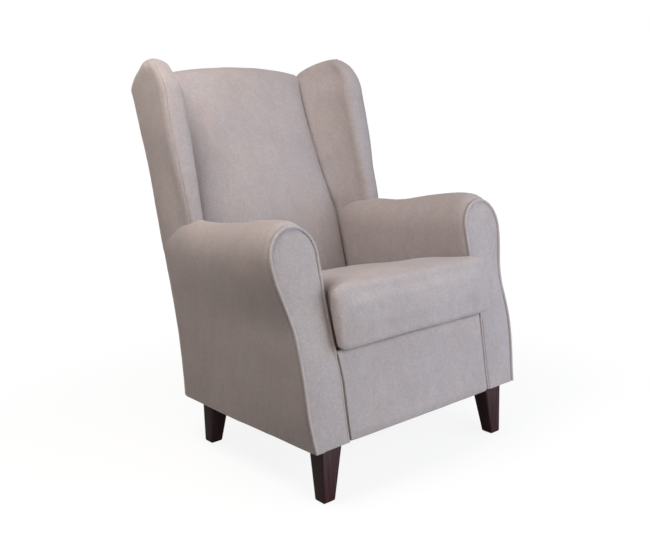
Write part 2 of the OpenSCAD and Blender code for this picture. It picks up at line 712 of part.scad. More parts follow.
// Wing cover: level sections from below the seam up to the crest
function groove_y(z) = back_y(z) - groove_t;
function slant_x(y, z) = let (g = pad_x(z) + pad_gap,
    y0 = wing_foot_y + (min(z, lean_top) - wing_foot_h) * tan(wing_lean) + wing_t / 2)
    mix(g, side_x(z) - wing_t, min(1, max(0, (groove_y(z) - y) / (groove_y(z) - y0))));
front_square = 0.72;
function square_bow(v) = sign(v) * pow(abs(v), front_square);
function nose_arc(mid, y, a, b) = [for (i = [0:crest_steps]) let (t = half_turn * i / crest_steps)
    [mid + a * square_bow(cos(t)), y - b * square_bow(sin(t))]];
function wing_ring(z) =
    let (y0 = wing_front(z), y1 = wing_rear(z), d = y1 - y0, b = min(wing_t / 2, d * 0.45),
        r = min(corner_r, d * 0.45), k = min(groove_y(z), y1 - d * 0.1),
        v = max(0, (z - crest_h + crest_r) / crest_r), f = sqrt(1 - v * v),
        xo = side_x(z), xi = slant_x(y0 + b, z), mid = (xo + xi) / 2)
    [for (p = concat([[slant_x(y1, z), y1]],
        [for (i = [0:corner_steps]) let (t = 90 - 90 * i / corner_steps)
            [xo - r + r * cos(t), y1 - r + r * sin(t)]],
        nose_arc(mid, y0 + b, (xo - xi) / 2, b),
        [[slant_x(mix(y0 + b, k, 0.5), z), mix(y0 + b, k, 0.5)], [slant_x(k, z), k]]))
        [mid + (p[0] - mid) * f, p[1], z]];
function seat_ring(z) =
    let (y0 = wing_front(z) - fit_gap, y1 = back_y(z) + over, b = wing_t / 2,
        xo = side_x(z) + fit_gap, xi = slant_x(y0 + b, z) - fit_gap, out = xo + roll_out)
    [for (p = concat([[slant_x(y1, z) - fit_gap, y1], [out, y1], [out, y0 + b]],
        nose_arc((xo + xi) / 2, y0 + b, (xo - xi) / 2, b),
        [for (v = [0.5, 1]) let (y = mix(y0 + b, groove_y(z), v)) [slant_x(y, z) - fit_gap, y]]))
        [p[0], p[1], z]];
wing_low = seam_z(chair_d / 2) - over;
wing_share = [0, 0.3, 0.6, 1];
crest_share = [0.25, 0.45, 0.62, 0.76, 0.87, 0.94, 0.98, 0.998];
wing_levels = concat([for (s = wing_share) mix(wing_low, lean_top, s)],
    [for (s = crest_share) lean_top + crest_front_h * s]);

module wing_cover(left) {
    color(fabric) on_side(left) difference() {
        loft([for (z = wing_levels) wing_ring(z)]);
        below_seam(-fit_gap / 2);
        intersection() {
            union() {
                side_view(0, post_x + fit_gap) back_layer(back_panel_t, pad_back, clear_h, crest_h);
                side_view(0, rail_x + fit_gap) back_layer(post_set - fit_gap, pad_back, clear_h, crest_h);
            }
            front_view(-chair_d, 3 * chair_d) under_arch(crest_pad - fit_gap);
        }
        intersection() {
            side_view(0, rail_x) back_layer(-over, back_panel_t + fit_gap, clear_h, crest_h);
            front_view(-chair_d, 3 * chair_d) panel_outline(fit_gap);
        }
        side_view(rail_x - wing_board_t - fit_gap, wing_board_t + 2 * fit_gap) board_outline(fit_gap);
    }
}

// Front view of the outside back, whose top follows the arch and falls to the wings' rear corners
module panel_outline(gap) {
    half = pad_w_top / 2;
    top = crest_h - crest_rear_h - crest_pad / 4 + gap;
    edge = [for (z = concat(wall_z(wing_foot_h), [top])) [side_x(z) - corner_r - fit_gap + gap, z]];
    polygon(concat(edge, [for (i = [corner_steps:-1:-corner_steps]) let (x = half * i / corner_steps)
        [x, arch_z(x) - back_hem - pad_gap + gap]], [for (p = flip(edge)) [-p[0], p[1]]]));
}

// Inside back: a crowned pad that rolls over the top rail and ends above the outside back
function pad_front_t(u, z) = let (c = mix(pad_t_foot, pad_t_top, back_share(z)))
    mix(groove_t, c, sqrt(max(0, 1 - pow(abs(u), 3))));
pad_level_share = [0, 0.12, 0.26, 0.42, 0.58, 0.74, 0.88, 1];
function pad_ring(u) =
    let (top = arch_z(u * pad_w_top / 2), roll = pad_front_t(u, arch_h), high = top - roll * 0.6,
        hem = top - back_hem, ledge = top - crest_pad + pad_gap,
        front = [for (v = pad_level_share) let (z = mix(pad_low, high, v))
            [back_y(z) - pad_front_t(u, z), z]],
        over_top = [for (i = [1:corner_steps + 2])
            let (a = half_turn * i / (corner_steps + 3), z = mix(a < 90 ? high : hem, top, sin(a)))
            [back_y(z) - roll / 2 * (1 + cos(a)), z]],
        shelf = [[back_y(hem), hem], [back_at(hem, back_panel_t + fit_gap), hem],
            [back_at(ledge, back_panel_t + fit_gap), ledge]],
        rear = [for (v = flip(pad_level_share)) let (z = mix(pad_low, ledge, v)) [back_at(z, pad_back), z]])
    [for (p = concat(front, over_top, shelf, rear)) [u * pad_x(p[1]), p[0], p[1]]];

module inside_back() {
    color(fabric_light) sheet_loft([for (u = pad_share) pad_ring(u)]);
}

panel_steps = 24;
module outside_back() {
    levels = [for (i = [0:panel_steps]) mix(clear_h, crest_h, i / panel_steps)];
    color(fabric) intersection() {
        side_view(-rail_x, 2 * rail_x) polygon(concat([for (z = levels) [back_y(z), z]],
            [for (z = flip(levels)) [back_at(z, back_panel_t - fit_gap / 2), z]]));
        front_view(-chair_d, 3 * chair_d) panel_outline(0);
    }
}

// Seat cushion: sections across the seat, from the crowned nose to the rear
function cushion_half(s) = half_cushion - side_draw * sin(180 * min(1, max(0, s / cushion_l)))
    + (ear_out + cushion_gap) * (1 - ease((s - ear_l) / (ear_l / 2)));
function cushion_ring(s, inset) =
    let (w = cushion_half(s) - inset, lift = top_crown * sin(180 * min(1, max(0, s / cushion_l))),
        r = edge_r, h = cushion_t - inset)
    concat(
        [for (i = [0:4]) let (a = 180 + 22.5 * i) [w * -1 + r + r * cos(a), s, inset + r + r * sin(a)]],
        [for (i = [0:4]) let (a = 270 + 22.5 * i) [w - r + r * cos(a), s, inset + r + r * sin(a)]],
        [for (i = [0:4]) let (a = 22.5 * i) [w - r + r * cos(a), s, h - r + r * sin(a)]],
        [for (u = [0.7, 0.35, 0, -0.35, -0.7]) [(w - r) * u, s, h + lift * (1 - u * u)]],
        [for (i = [0:4]) let (a = 90 + 22.5 * i) [r - w + r * cos(a), s, h - r + r * sin(a)]]);
function shrink(ring, by, s) = let (c = cushion_t / 2)
    [for (p = ring) [p[0] * (1 - by / half_cushion), s, c + (p[2] - c) * (1 - by / c)]];
module cushion_form(inset) {
    front = -nose_crown + inset;
    rear = cushion_l - inset;
    f = cushion_ring(ear_l / 4, inset);
    b = cushion_ring(cushion_l, inset);
    loft(concat(
        [shrink(f, cushion_t * 0.3, front), shrink(f, cushion_t * 0.16, front * 0.85),
            shrink(f, cushion_t * 0.05, front * 0.45), shrink(f, 0, inset)],
        [for (s = [ear_l * 0.5, ear_l, ear_l * 1.25, ear_l * 1.5]) cushion_ring(s, inset)],
        [for (v = [0.3, 0.5, 0.7, 0.88]) cushion_ring(cushion_l * v, inset)],
        [shrink(b, 0, rear - cushion_t * 0.09), shrink(b, cushion_t * 0.03, rear - cushion_t * 0.02),
            shrink(b, cushion_t * 0.12, rear)]));
}

module cushion_core() {
    color(foam) on_seat() cushion_form(cover_t);
}

module cushion_cover() {
    color(fabric_light) on_seat() difference() {
        cushion_form(0);
        cushion_form(cover_t);
    }
}

leg(leg_places()[0]);  // leg_front_left
mirror([1, 0, 0]) leg(leg_places()[0]);  // leg_front_right
leg(leg_places()[1]);  // leg_rear_left
mirror([1, 0, 0]) leg(leg_places()[1]);  // leg_rear_right
foot_glides();
leg_bolts();
tee_nuts();
corner_blocks();
front_rail();
rear_rail();
side_rail(true);  // side_rail_left
side_rail(false);  // side_rail_right
arm_post(true);  // arm_post_left
arm_post(false);  // arm_post_right
arm_rail(true);  // arm_rail_left
arm_rail(false);  // arm_rail_right
back_post(true);  // back_post_left
back_post(false);  // back_post_right
back_top_rail();
back_lower_rail();
wing_board(true);  // wing_board_left
wing_board(false);  // wing_board_right
seat_springs();
spring_clips();
back_webbing();
seat_deck();
front_border();
arm_cover(true);  // arm_cover_left
arm_cover(false);  // arm_cover_right
outside_arm(true);  // outside_arm_left
outside_arm(false);  // outside_arm_right
arm_facing(true);  // arm_facing_left
arm_facing(false);  // arm_facing_right
arm_piping(true);  // arm_piping_left
arm_piping(false);  // arm_piping_right
wing_cover(true);  // wing_cover_left
wing_cover(false);  // wing_cover_right
inside_back();
outside_back();
dust_cover();
cushion_core();
cushion_cover();
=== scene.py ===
import math

import bmesh
import bpy
from mathutils import Matrix, Vector, noise


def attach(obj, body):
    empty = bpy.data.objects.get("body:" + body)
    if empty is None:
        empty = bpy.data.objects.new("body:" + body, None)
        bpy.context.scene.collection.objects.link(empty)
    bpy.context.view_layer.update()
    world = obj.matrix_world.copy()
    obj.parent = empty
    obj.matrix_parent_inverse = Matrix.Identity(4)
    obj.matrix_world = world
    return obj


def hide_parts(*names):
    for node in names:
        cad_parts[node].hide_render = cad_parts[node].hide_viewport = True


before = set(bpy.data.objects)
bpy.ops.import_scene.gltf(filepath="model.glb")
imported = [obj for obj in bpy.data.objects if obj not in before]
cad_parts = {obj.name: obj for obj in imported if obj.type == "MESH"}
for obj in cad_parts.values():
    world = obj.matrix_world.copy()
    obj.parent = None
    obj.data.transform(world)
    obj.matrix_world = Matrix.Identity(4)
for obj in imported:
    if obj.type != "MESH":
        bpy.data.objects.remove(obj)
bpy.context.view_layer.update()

# Fireside chair. Metres, in the frame of the solids: +X is the sitter's left, the front is at -Y, Z is up.

# Sizes of the body
BODY_W = 0.732
CHAIR_D = 0.846
CREST_H = 1.056
CLEAR_H = 0.147
FRONT_RAKE = math.radians(11.9)
FOOT_TUCK = 0.008
TUCK_RISE = 0.110
CORNER_R = 0.057
CLOTH_T = 0.004

# Unevenness of the cloth on the body
FRONT_BELLY = 0.008
BELLY_TOP = 0.500
SEAM_DRAW = 0.006
HEM_DROP = 0.006
HEM_TUCK = 0.0012

# Arms
ARM_IN = 0.256
ARM_H = 0.663
ARM_FALL = 0.033
FALL_REACH = 0.65
ROLL_RISE = 0.085
ROLL_OUT = 0.031
ROLL_OUT_BACK = 0.005
ROLL_UNDER = 0.178
FACING_T = 0.010
FACING_STEP = 0.008
FACING_SET = 0.0055
FACING_CROWN = 0.0035
FACING_EDGE = 0.010
FACING_SWELL = 0.003
RIGHT_FACING_DROP = 0.005
PIPING_R = 0.004
PIPING_IN = 0.0045
PIPING_SET = 0.0050
PIPING_SINK = 0.0042
PIPING_SIDES = 12
ROLL_DROP = 0.009

# Wings
WING_T = 0.074
WING_LOW = 0.540
WING_NOSE = 0.036
WING_BOX = 0.72
WING_FOOT_H = 0.629
WING_FOOT_W = 0.1755
WING_LEAN = math.radians(12.7)
CREST_FRONT_H = 0.098
CREST_REAR_H = 0.082
CREST_SET = 0.148
CREST_TUCK = 0.013
CREST_R = 0.030
CREST_THIN_H = 0.945
CREST_THIN = 0.040
FOOT_DRAW = 0.019
FRONT_BOW = 1.6
REAR_BOW = 1.4

# Back
ARCH_H = 1.041
ARCH_FALL = 0.022
BACK_R = 2.350
PAD_W_FOOT = 0.510
PAD_W_TOP = 0.450
PAD_FLARE = 0.018
WAIST_LOW = 0.560
WAIST_SET = 0.018
WAIST_DRAW = 0.007
PAD_T_FOOT = 0.100
PAD_T_TOP = 0.082
GROOVE_T = 0.056
BACK_HEM = 0.012
TUCK_SET = 0.004
TUCK_GAP = 0.0008
TUCK_END = 0.90
TUCK_FADE = 0.05
BACK_PANEL_T = 0.045
PANEL_TOP_H = 0.96
PANEL_SINK = 0.0095
SHOULDER_W = 0.050
SHOULDER_LOW = 0.930
SHOULDER_LAP = 0.0025
SHOULDER_FRONT = 0.004
SHOULDER_REAR = 0.0035
SHOULDER_EDGE = 0.0030

# Seat
CUSHION_SET = 0.011
SEAT_FRONT_H = 0.364
SEAT_PITCH = math.radians(9.3)
CUSHION_T = 0.138
EAR_OUT = 0.017
NOSE_CROWN = 0.0125
TOP_CROWN = 0.017
NOSE_DROOP = 0.006
FRONT_PLUMP = 0.011
EDGE_TOP = 0.024
EDGE_LOW = 0.014
NOSE_R = 0.018
NOSE_SET = 0.011
CUSHION_L = 0.516
CUSHION_GAP = 0.0045
CUSHION_DRAW = 0.002
CUSHION_REAR_R = 0.020
CUSHION_FACE = 0.066
DECK_T = 0.024
DECK_FRONT_SET = 0.0388
DECK_REAR_SET = 0.0383
DECK_DIP = 0.004
DECK_DROP = 0.0006
BORDER_R = 0.014
BORDER_DEPTH = 0.038

# Legs
LEG_TOP = 0.054
LEG_FOOT = 0.0355
LEG_X = 0.323
LEG_FRONT_SET = 0.022
LEG_REAR_SET = 0.064
LEG_END = 0.0012
LEG_FLARE = 0.009
LEG_EDGE = 0.0045

# Camera, solved from the chair's straight edges in the photograph
PHOTO_W = 650
FOCAL_PX = 817.09
SENSOR_W = 36.0
CAM_AZ = math.radians(-39.415)
CAM_EL = math.radians(11.681)
CAM_ROLL = math.radians(-1.737)
CAM_PLACE = Vector((-1.4291, -1.7754, 0.9145))

FOOT_Y = -CHAIR_D / 2
BACK_HEM_H = ARCH_H - BACK_HEM
BACK_CY = CHAIR_D / 2 + math.sqrt(BACK_R ** 2 - BACK_HEM_H ** 2)
ROLL_H = ARM_H - ROLL_RISE
SEAT_Y = FOOT_Y + CUSHION_SET
FACE_DY = FACING_T / math.cos(FRONT_RAKE)


def mix(a, b, s):
    return a + (b - a) * s


def clamp(v, low=0.0, high=1.0):
    return min(high, max(low, v))


def ease(v):
    v = clamp(v)
    return v * v * (3 - 2 * v)


def steps(n):
    return [i / n for i in range(n + 1)]


def spread(n):
    return [mix(-1, 1, w) for w in steps(n)]


# Planes and curves that the whole body follows
def front_y(z):
    belly = FRONT_BELLY * math.sin(math.pi * clamp((z - CLEAR_H) / (BELLY_TOP - CLEAR_H))) ** 2
    return FOOT_Y + (z - CLEAR_H) * math.tan(FRONT_RAKE) - belly


def inner_x(z):
    return ARM_IN - SEAM_DRAW * ease((SEAT_FRONT_H + 0.01 - z) / 0.10)


def back_y(z):
    return BACK_CY - math.sqrt(BACK_R ** 2 - z * z)


WING_FOOT_Y = back_y(WING_FOOT_H) - WING_FOOT_W
CREST_Y = CHAIR_D / 2 - CREST_SET
LEAN_TOP = CREST_H - CREST_FRONT_H
LEAN_Y = WING_FOOT_Y + (LEAN_TOP - WING_FOOT_H) * math.tan(WING_LEAN)


def side_x(z):
    low = max(0.0, (CLEAR_H + TUCK_RISE - z) / TUCK_RISE)
    high = max(0.0, (z - ARM_H) / (CREST_H - ARM_H))
    return BODY_W / 2 - FOOT_TUCK * low ** 2 - CREST_TUCK * high


def arch_z(x):
    return ARCH_H - ARCH_FALL * (2 * x / PAD_W_TOP) ** 2


def seat_z(y):
    return SEAT_FRONT_H - (y - SEAT_Y) * math.tan(SEAT_PITCH)


PAD_LOW = seat_z(back_y(CLEAR_H) - PAD_T_FOOT) + 0.0007


def back_share(z):
    return (z - PAD_LOW) / (ARCH_H - PAD_LOW)


def waist(z):
    return math.sin(math.pi * clamp((z - WAIST_LOW) / (ARCH_H - WAIST_LOW))) ** 2


def groove_t(z):
    return GROOVE_T - WAIST_SET * waist(z)


def crest_share(z):
    return ease((z - CREST_THIN_H) / (CREST_H - CREST_THIN_H))


def pad_x(z):
    return mix(PAD_W_FOOT, PAD_W_TOP, back_share(z)) / 2 + PAD_FLARE * crest_share(z) - WAIST_DRAW * waist(z)


def arm_y(s, z):
    return mix(front_y(z) + FACE_DY, back_y(z) - CORNER_R, s)


def roll_z(s):
    return ROLL_H - ARM_FALL * ease(s / FALL_REACH)


def roll_over(s):
    return mix(ROLL_OUT, ROLL_OUT_BACK, s)


def swell(z, s):
    return ease((z - roll_z(s) + ROLL_UNDER) / ROLL_UNDER)


def outer_x(z, s):
    untuck = side_x(CLEAR_H + TUCK_RISE) - side_x(min(z, CLEAR_H + TUCK_RISE))
    return side_x(z) + roll_over(s) * swell(z, s) + untuck * ease(s * 1.5)


def on_seat(x, s, h):
    c, n = math.cos(SEAT_PITCH), math.sin(SEAT_PITCH)
    return Vector((x, SEAT_Y + s * c + h * n, SEAT_FRONT_H - s * n + h * c))


def bow(k, p):
    return max(0.0, 1 - max(0.0, k) ** p) ** (1 / p)


def wing_front(z):
    if z < LEAN_TOP:
        return WING_FOOT_Y + (z - WING_FOOT_H) * math.tan(WING_LEAN)
    return CREST_Y - (CREST_Y - LEAN_Y) * bow((z - LEAN_TOP) / CREST_FRONT_H, FRONT_BOW)


def wing_rear(z):
    low = CREST_H - CREST_REAR_H
    if z < low:
        return back_y(z)
    return CREST_Y + (back_y(low) - CREST_Y) * bow((z - low) / CREST_REAR_H, REAR_BOW)


# Mesh helpers
def new_object(name, verts, faces):
    mesh = bpy.data.meshes.new(name)
    mesh.from_pydata([tuple(v) for v in verts], [], faces)
    mesh.validate()
    obj = bpy.data.objects.new(name, mesh)
    bpy.context.scene.collection.objects.link(obj)
    clean_up(obj)
    return obj


def clean_up(obj, sharp=50):
    bm = bmesh.new()
    bm.from_mesh(obj.data)
    bmesh.ops.remove_doubles(bm, verts=bm.verts, dist=1e-6)
    bmesh.ops.recalc_face_normals(bm, faces=bm.faces)
    bm.to_mesh(obj.data)
    bm.free()
    obj.data.shade_smooth()
    obj.data.set_sharp_from_angle(angle=math.radians(sharp))


def loft(name, rings):
    """Closed form through rings that all have the same number of points."""
    n, m = len(rings[0]), len(rings)
    faces = [tuple(range(n - 1, -1, -1)), tuple((m - 1) * n + i for i in range(n))]
    for k in range(m - 1):
        for i in range(n):
            j = (i + 1) % n
            faces.append((k * n + i, k * n + j, (k + 1) * n + j, (k + 1) * n + i))
    return new_object(name, [p for ring in rings for p in ring], faces)


def grid(name, rows, thickness):
    """Sheet through rows of points, None where the sheet has ended, made solid towards its inner side."""
    index, verts = {}, []
    for r, row in enumerate(rows):
        for c, p in enumerate(row):
            if p is not None:
                index[r, c] = len(verts)
                verts.append(p)
    faces = []
    for r in range(len(rows) - 1):
        for c in range(len(rows[0]) - 1):
            corners = [(r, c), (r, c + 1), (r + 1, c + 1), (r + 1, c)]
            if all(k in index for k in corners):
                faces.append(tuple(index[k] for k in corners))
    obj = new_object(name, verts, faces)
    apply_modifier(obj, "SOLIDIFY", thickness=thickness, offset=-1)
    clean_up(obj)
    return obj


def apply_modifier(obj, kind, **settings):
    mod = obj.modifiers.new(kind.lower(), kind)
    for key, value in settings.items():
        setattr(mod, key, value)
    graph = bpy.context.evaluated_depsgraph_get()
    graph.update()
    mesh = bpy.data.meshes.new_from_object(obj.evaluated_get(graph))
    obj.modifiers.clear()
    obj.data = mesh


def soften(obj, amount, size, seed, keep=None):
    """Small hand-made unevenness along the normals, stronger in the middle of a face than at a held edge."""
    mesh = obj.data
    shift = Vector((seed * 3.1, seed * 1.7, seed * 2.3))
    normals = [v.normal.copy() for v in mesh.vertices]
    for v, nrm in zip(mesh.vertices, normals):
        wave = noise.noise(v.co / size + shift) + 0.5 * noise.noise(v.co * 2.3 / size - shift)
        v.co += nrm * amount * wave * (1.0 if keep is None else keep(v.co))
    mesh.update()


def mirror_points(rows, left):
    if left:
        return rows
    return [[None if p is None else Vector((-p[0], p[1], p[2])) for p in row] for row in rows]


def side_name(left):
    return "left" if left else "right"


def place(obj, body, material, slot, *nodes):
    obj.data.materials.clear()
    obj.data.materials.append(material)
    if nodes:
        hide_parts(*nodes)
    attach(obj, body)


# Materials
def node_setup(name):
    mat = bpy.data.materials.new(name)
    mat.use_nodes = True
    nodes, links = mat.node_tree.nodes, mat.node_tree.links
    return mat, nodes, links, nodes["Principled BSDF"]


def noise_node(nodes, links, coords, scale, detail, rough, distort=0.0):
    node = nodes.new("ShaderNodeTexNoise")
    node.inputs["Scale"].default_value = scale
    node.inputs["Detail"].default_value = detail
    node.inputs["Roughness"].default_value = rough
    node.inputs["Distortion"].default_value = distort
    links.new(coords, node.inputs["Vector"])
    return node.outputs["Fac"]


def ramp_node(nodes, links, fac, stops):
    node = nodes.new("ShaderNodeValToRGB")
    ramp = node.color_ramp
    while len(ramp.elements) < len(stops):
        ramp.elements.new(0.5)
    for element, (pos, colour) in zip(ramp.elements, stops):
        element.position = pos
        element.color = (*colour, 1)
    links.new(fac, node.inputs["Fac"])
    return node.outputs["Color"]


def mix_node(nodes, links, kind, fac, a, b):
    node = nodes.new("ShaderNodeMix")
    node.data_type = "RGBA"
    node.blend_type = kind
    node.inputs[0].default_value = fac
    links.new(a, node.inputs[6])
    links.new(b, node.inputs[7])
    return node.outputs[2]


def bump_chain(nodes, links, shader, layers):
    last = None
    for height, strength, distance in layers:
        bump = nodes.new("ShaderNodeBump")
        bump.inputs["Strength"].default_value = strength
        bump.inputs["Distance"].default_value = distance
        links.new(height, bump.inputs["Height"])
        if last is not None:
            links.new(last, bump.inputs["Normal"])
        last = bump.outputs["Normal"]
    links.new(last, shader.inputs["Normal"])


def object_coords(nodes, links, scale=(1, 1, 1)):
    coord = nodes.new("ShaderNodeTexCoord")
    mapping = nodes.new("ShaderNodeMapping")
    mapping.inputs["Scale"].default_value = scale
    links.new(coord.outputs["Object"], mapping.inputs["Vector"])
    return mapping.outputs["Vector"]


def suede(name, tone):
    """Short brushed nap: broad cloudy strokes, a finer mottle, fibres in the bump and a soft sheen."""
    mat, nodes, links, shader = node_setup(name)
    coords = object_coords(nodes, links)
    clouds = noise_node(nodes, links, coords, 7.0, 5.0, 0.6, 0.6)
    strokes = noise_node(nodes, links, object_coords(nodes, links, (1, 1, 0.45)), 34.0, 4.0, 0.6, 1.1)
    fibre = noise_node(nodes, links, coords, 1900.0, 3.0, 0.7)
    pile = noise_node(nodes, links, coords, 420.0, 4.0, 0.65)
    mottle = noise_node(nodes, links, coords, 170.0, 5.0, 0.72, 0.3)
    blush = noise_node(nodes, links, coords, 11.0, 4.0, 0.65, 0.8)
    dark = [c * 0.96 for c in tone]
    light = [min(1.0, c * 1.03) for c in tone]
    base = ramp_node(nodes, links, clouds, [(0.34, dark), (0.5, tone), (0.68, light)])
    flecks = ramp_node(nodes, links, mottle, [(0.36, (0.89, 0.89, 0.90)), (0.64, (1.05, 1.045, 1.04))])
    tint = ramp_node(nodes, links, blush, [(0.38, (0.985, 1.0, 1.010)), (0.62, (1.02, 0.995, 0.980))])
    stroke = ramp_node(nodes, links, strokes, [(0.36, (0.93, 0.92, 0.91)), (0.62, (1.0, 1.0, 1.0))])
    grain = ramp_node(nodes, links, fibre, [(0.3, (0.84, 0.84, 0.84)), (0.7, (1.0, 1.0, 1.0))])
    colour = mix_node(nodes, links, "MULTIPLY", 0.75, base, stroke)
    colour = mix_node(nodes, links, "MULTIPLY", 0.8, colour, grain)
    colour = mix_node(nodes, links, "MULTIPLY", 1.0, colour, flecks)
    colour = mix_node(nodes, links, "MULTIPLY", 1.0, colour, tint)
    links.new(colour, shader.inputs["Base Color"])
    rough = nodes.new("ShaderNodeMapRange")
    rough.inputs["To Min"].default_value = 0.78
    rough.inputs["To Max"].default_value = 0.95
    links.new(strokes, rough.inputs["Value"])
    links.new(rough.outputs["Result"], shader.inputs["Roughness"])
    shader.inputs["Specular IOR Level"].default_value = 0.25
    shader.inputs["Sheen Weight"].default_value = 0.30
    shader.inputs["Sheen Roughness"].default_value = 0.45
    shader.inputs["Sheen Tint"].default_value = (1.0, 0.93, 0.90, 1)
    bump_chain(nodes, links, shader, [(strokes, 0.35, 0.0012), (mottle, 0.45, 0.0006), (pile, 0.45, 0.0005),
                                      (fibre, 0.3, 0.0002)])
    return mat


def wood(name, dark, light, along, gloss, coat):
    """Straight-grained wood: long streaks along one axis, pores, and a satin film where it is finished."""
    mat, nodes, links, shader = node_setup(name)
    stretch = [1.0, 1.0, 1.0]
    stretch[along] = 0.05
    coords = object_coords(nodes, links, stretch)
    streaks = noise_node(nodes, links, coords, 120.0, 6.0, 0.65, 0.4)
    pores = noise_node(nodes, links, coords, 900.0, 3.0, 0.6)
    tone = ramp_node(nodes, links, streaks, [(0.35, dark), (0.7, light)])
    pits = ramp_node(nodes, links, pores, [(0.36, (0.62, 0.58, 0.56)), (0.46, (1.0, 1.0, 1.0))])
    links.new(mix_node(nodes, links, "MULTIPLY", 0.6, tone, pits), shader.inputs["Base Color"])
    rough = nodes.new("ShaderNodeMapRange")
    rough.inputs["To Min"].default_value = gloss - 0.08
    rough.inputs["To Max"].default_value = gloss + 0.10
    links.new(streaks, rough.inputs["Value"])
    links.new(rough.outputs["Result"], shader.inputs["Roughness"])
    shader.inputs["Coat Weight"].default_value = coat
    shader.inputs["Coat Roughness"].default_value = 0.25
    bump_chain(nodes, links, shader, [(streaks, 0.25, 0.0004), (pores, 0.3, 0.0002)])
    return mat


def metal(name, tone):
    mat, nodes, links, shader = node_setup(name)
    coords = object_coords(nodes, links)
    grime = noise_node(nodes, links, coords, 160.0, 4.0, 0.6)
    links.new(ramp_node(nodes, links, grime, [(0.35, [c * 0.8 for c in tone]), (0.65, tone)]),
              shader.inputs["Base Color"])
    rough = nodes.new("ShaderNodeMapRange")
    rough.inputs["To Min"].default_value = 0.28
    rough.inputs["To Max"].default_value = 0.45
    links.new(grime, rough.inputs["Value"])
    links.new(rough.outputs["Result"], shader.inputs["Roughness"])
    shader.inputs["Metallic"].default_value = 1.0
    bump_chain(nodes, links, shader, [(grime, 0.1, 0.0002)])
    return mat


def woven(name, tone, pitch):
    """Plain weave of flat threads, for the straps and the lining."""
    mat, nodes, links, shader = node_setup(name)
    coords = object_coords(nodes, links)
    threads = []
    for axis in ("X", "Z"):
        wave = nodes.new("ShaderNodeTexWave")
        wave.bands_direction = axis
        wave.inputs["Scale"].default_value = 1 / (pitch * 6)
        wave.inputs["Distortion"].default_value = 0.6
        links.new(coords, wave.inputs["Vector"])
        threads.append(wave.outputs["Color"])
    weave = mix_node(nodes, links, "MULTIPLY", 1.0, *threads)
    fuzz = noise_node(nodes, links, coords, 700.0, 3.0, 0.6)
    links.new(ramp_node(nodes, links, fuzz, [(0.3, [c * 0.75 for c in tone]), (0.7, tone)]),
              shader.inputs["Base Color"])
    shader.inputs["Roughness"].default_value = 0.92
    shader.inputs["Sheen Weight"].default_value = 0.15
    bump_chain(nodes, links, shader, [(weave, 0.4, 0.0004), (fuzz, 0.3, 0.0003)])
    return mat


CLOTH_TONE = (0.430, 0.385, 0.376)
cloth = suede("upholstery_suede", CLOTH_TONE)
# The piping is the body suede made 6% lighter: a painted highlight for the light its round welt catches
piping_cloth_painted_highlight = suede("piping_suede_painted_highlight", [c * 1.06 for c in CLOTH_TONE])
leg_wood = wood("dark_stained_wood", (0.012, 0.004, 0.005), (0.074, 0.018, 0.023), 2, 0.42, 0.08)
frame_wood = wood("beech", (0.50, 0.33, 0.18), (0.66, 0.47, 0.28), 2, 0.6, 0.0)
rail_wood = wood("beech_across", (0.50, 0.33, 0.18), (0.66, 0.47, 0.28), 0, 0.6, 0.0)
zinc = metal("zinc_plate", (0.62, 0.64, 0.67))
lining = woven("black_lining", (0.018, 0.018, 0.017), 0.0012)
strap_cloth = woven("webbing", (0.50, 0.38, 0.22), 0.0022)
# The deck is the body suede made 8% darker: painted shade for where it lies under the cushion
deck_cloth_painted_shade = suede("deck_suede_painted_shade", [c * 0.92 for c in CLOTH_TONE])


# Arms: one cloth a side, from the seat up the inner face, over the roll, down the side and round the corner
INNER_ROWS = 8
ROLL_ROWS = 22
WALL_ROWS = 22
FRONT_TURN = ((0.0, 0.0105, 0.0150), (0.0012, 0.0072, 0.0115), (0.0045, 0.0036, 0.0070), (0.0090, 0.0014, 0.0032),
              (0.0150, 0.0003, 0.0008))
LEFT_PUFF = 0.007
LEFT_BELLY = 0.007
LEFT_BELLY_LOW = 0.16
LEFT_BELLY_RISE = 0.34


def left_belly(z, s):
    return LEFT_BELLY * math.sin(math.pi * clamp((z - LEFT_BELLY_LOW) / LEFT_BELLY_RISE)) ** 2 * (1 - ease(s * 2))


def arm_profile(s, tuck, drop, left):
    """Points of the arm's section: inner face, roll and side, drawn in by tuck where the front edge turns in."""
    puff = left * LEFT_PUFF * ease((s + 0.05) / 0.15) * (1 - ease((s - 0.30) / 0.30))
    rise = ROLL_RISE - drop + puff
    hem = CLEAR_H - HEM_DROP * (s if left else 1.0)
    x1 = side_x(ROLL_H) + roll_over(s) - tuck
    x0 = ARM_IN + tuck
    mid, half = (x0 + x1) / 2, (x1 - x0) / 2
    y_nom = arm_y(s, SEAT_FRONT_H)
    low = seat_z(y_nom) - DECK_T
    points = [(x0, mix(low, roll_z(s), i / INNER_ROWS)) for i in range(INNER_ROWS)]
    for i in range(ROLL_ROWS + 1):
        a = math.pi * (1 - i / ROLL_ROWS)
        points.append((mid + half * math.cos(a), roll_z(s) + rise * math.sin(a)))
    for i in range(1, WALL_ROWS + 1):
        z = mix(roll_z(s), hem, i / WALL_ROWS)
        points.append((outer_x(z, s) - tuck + left * left_belly(z, s), z))
    points.append((outer_x(CLEAR_H, s) - tuck - 0.004, hem - 0.0015))
    points.append((outer_x(CLEAR_H, s) - tuck - 0.020, hem - HEM_TUCK))
    return points


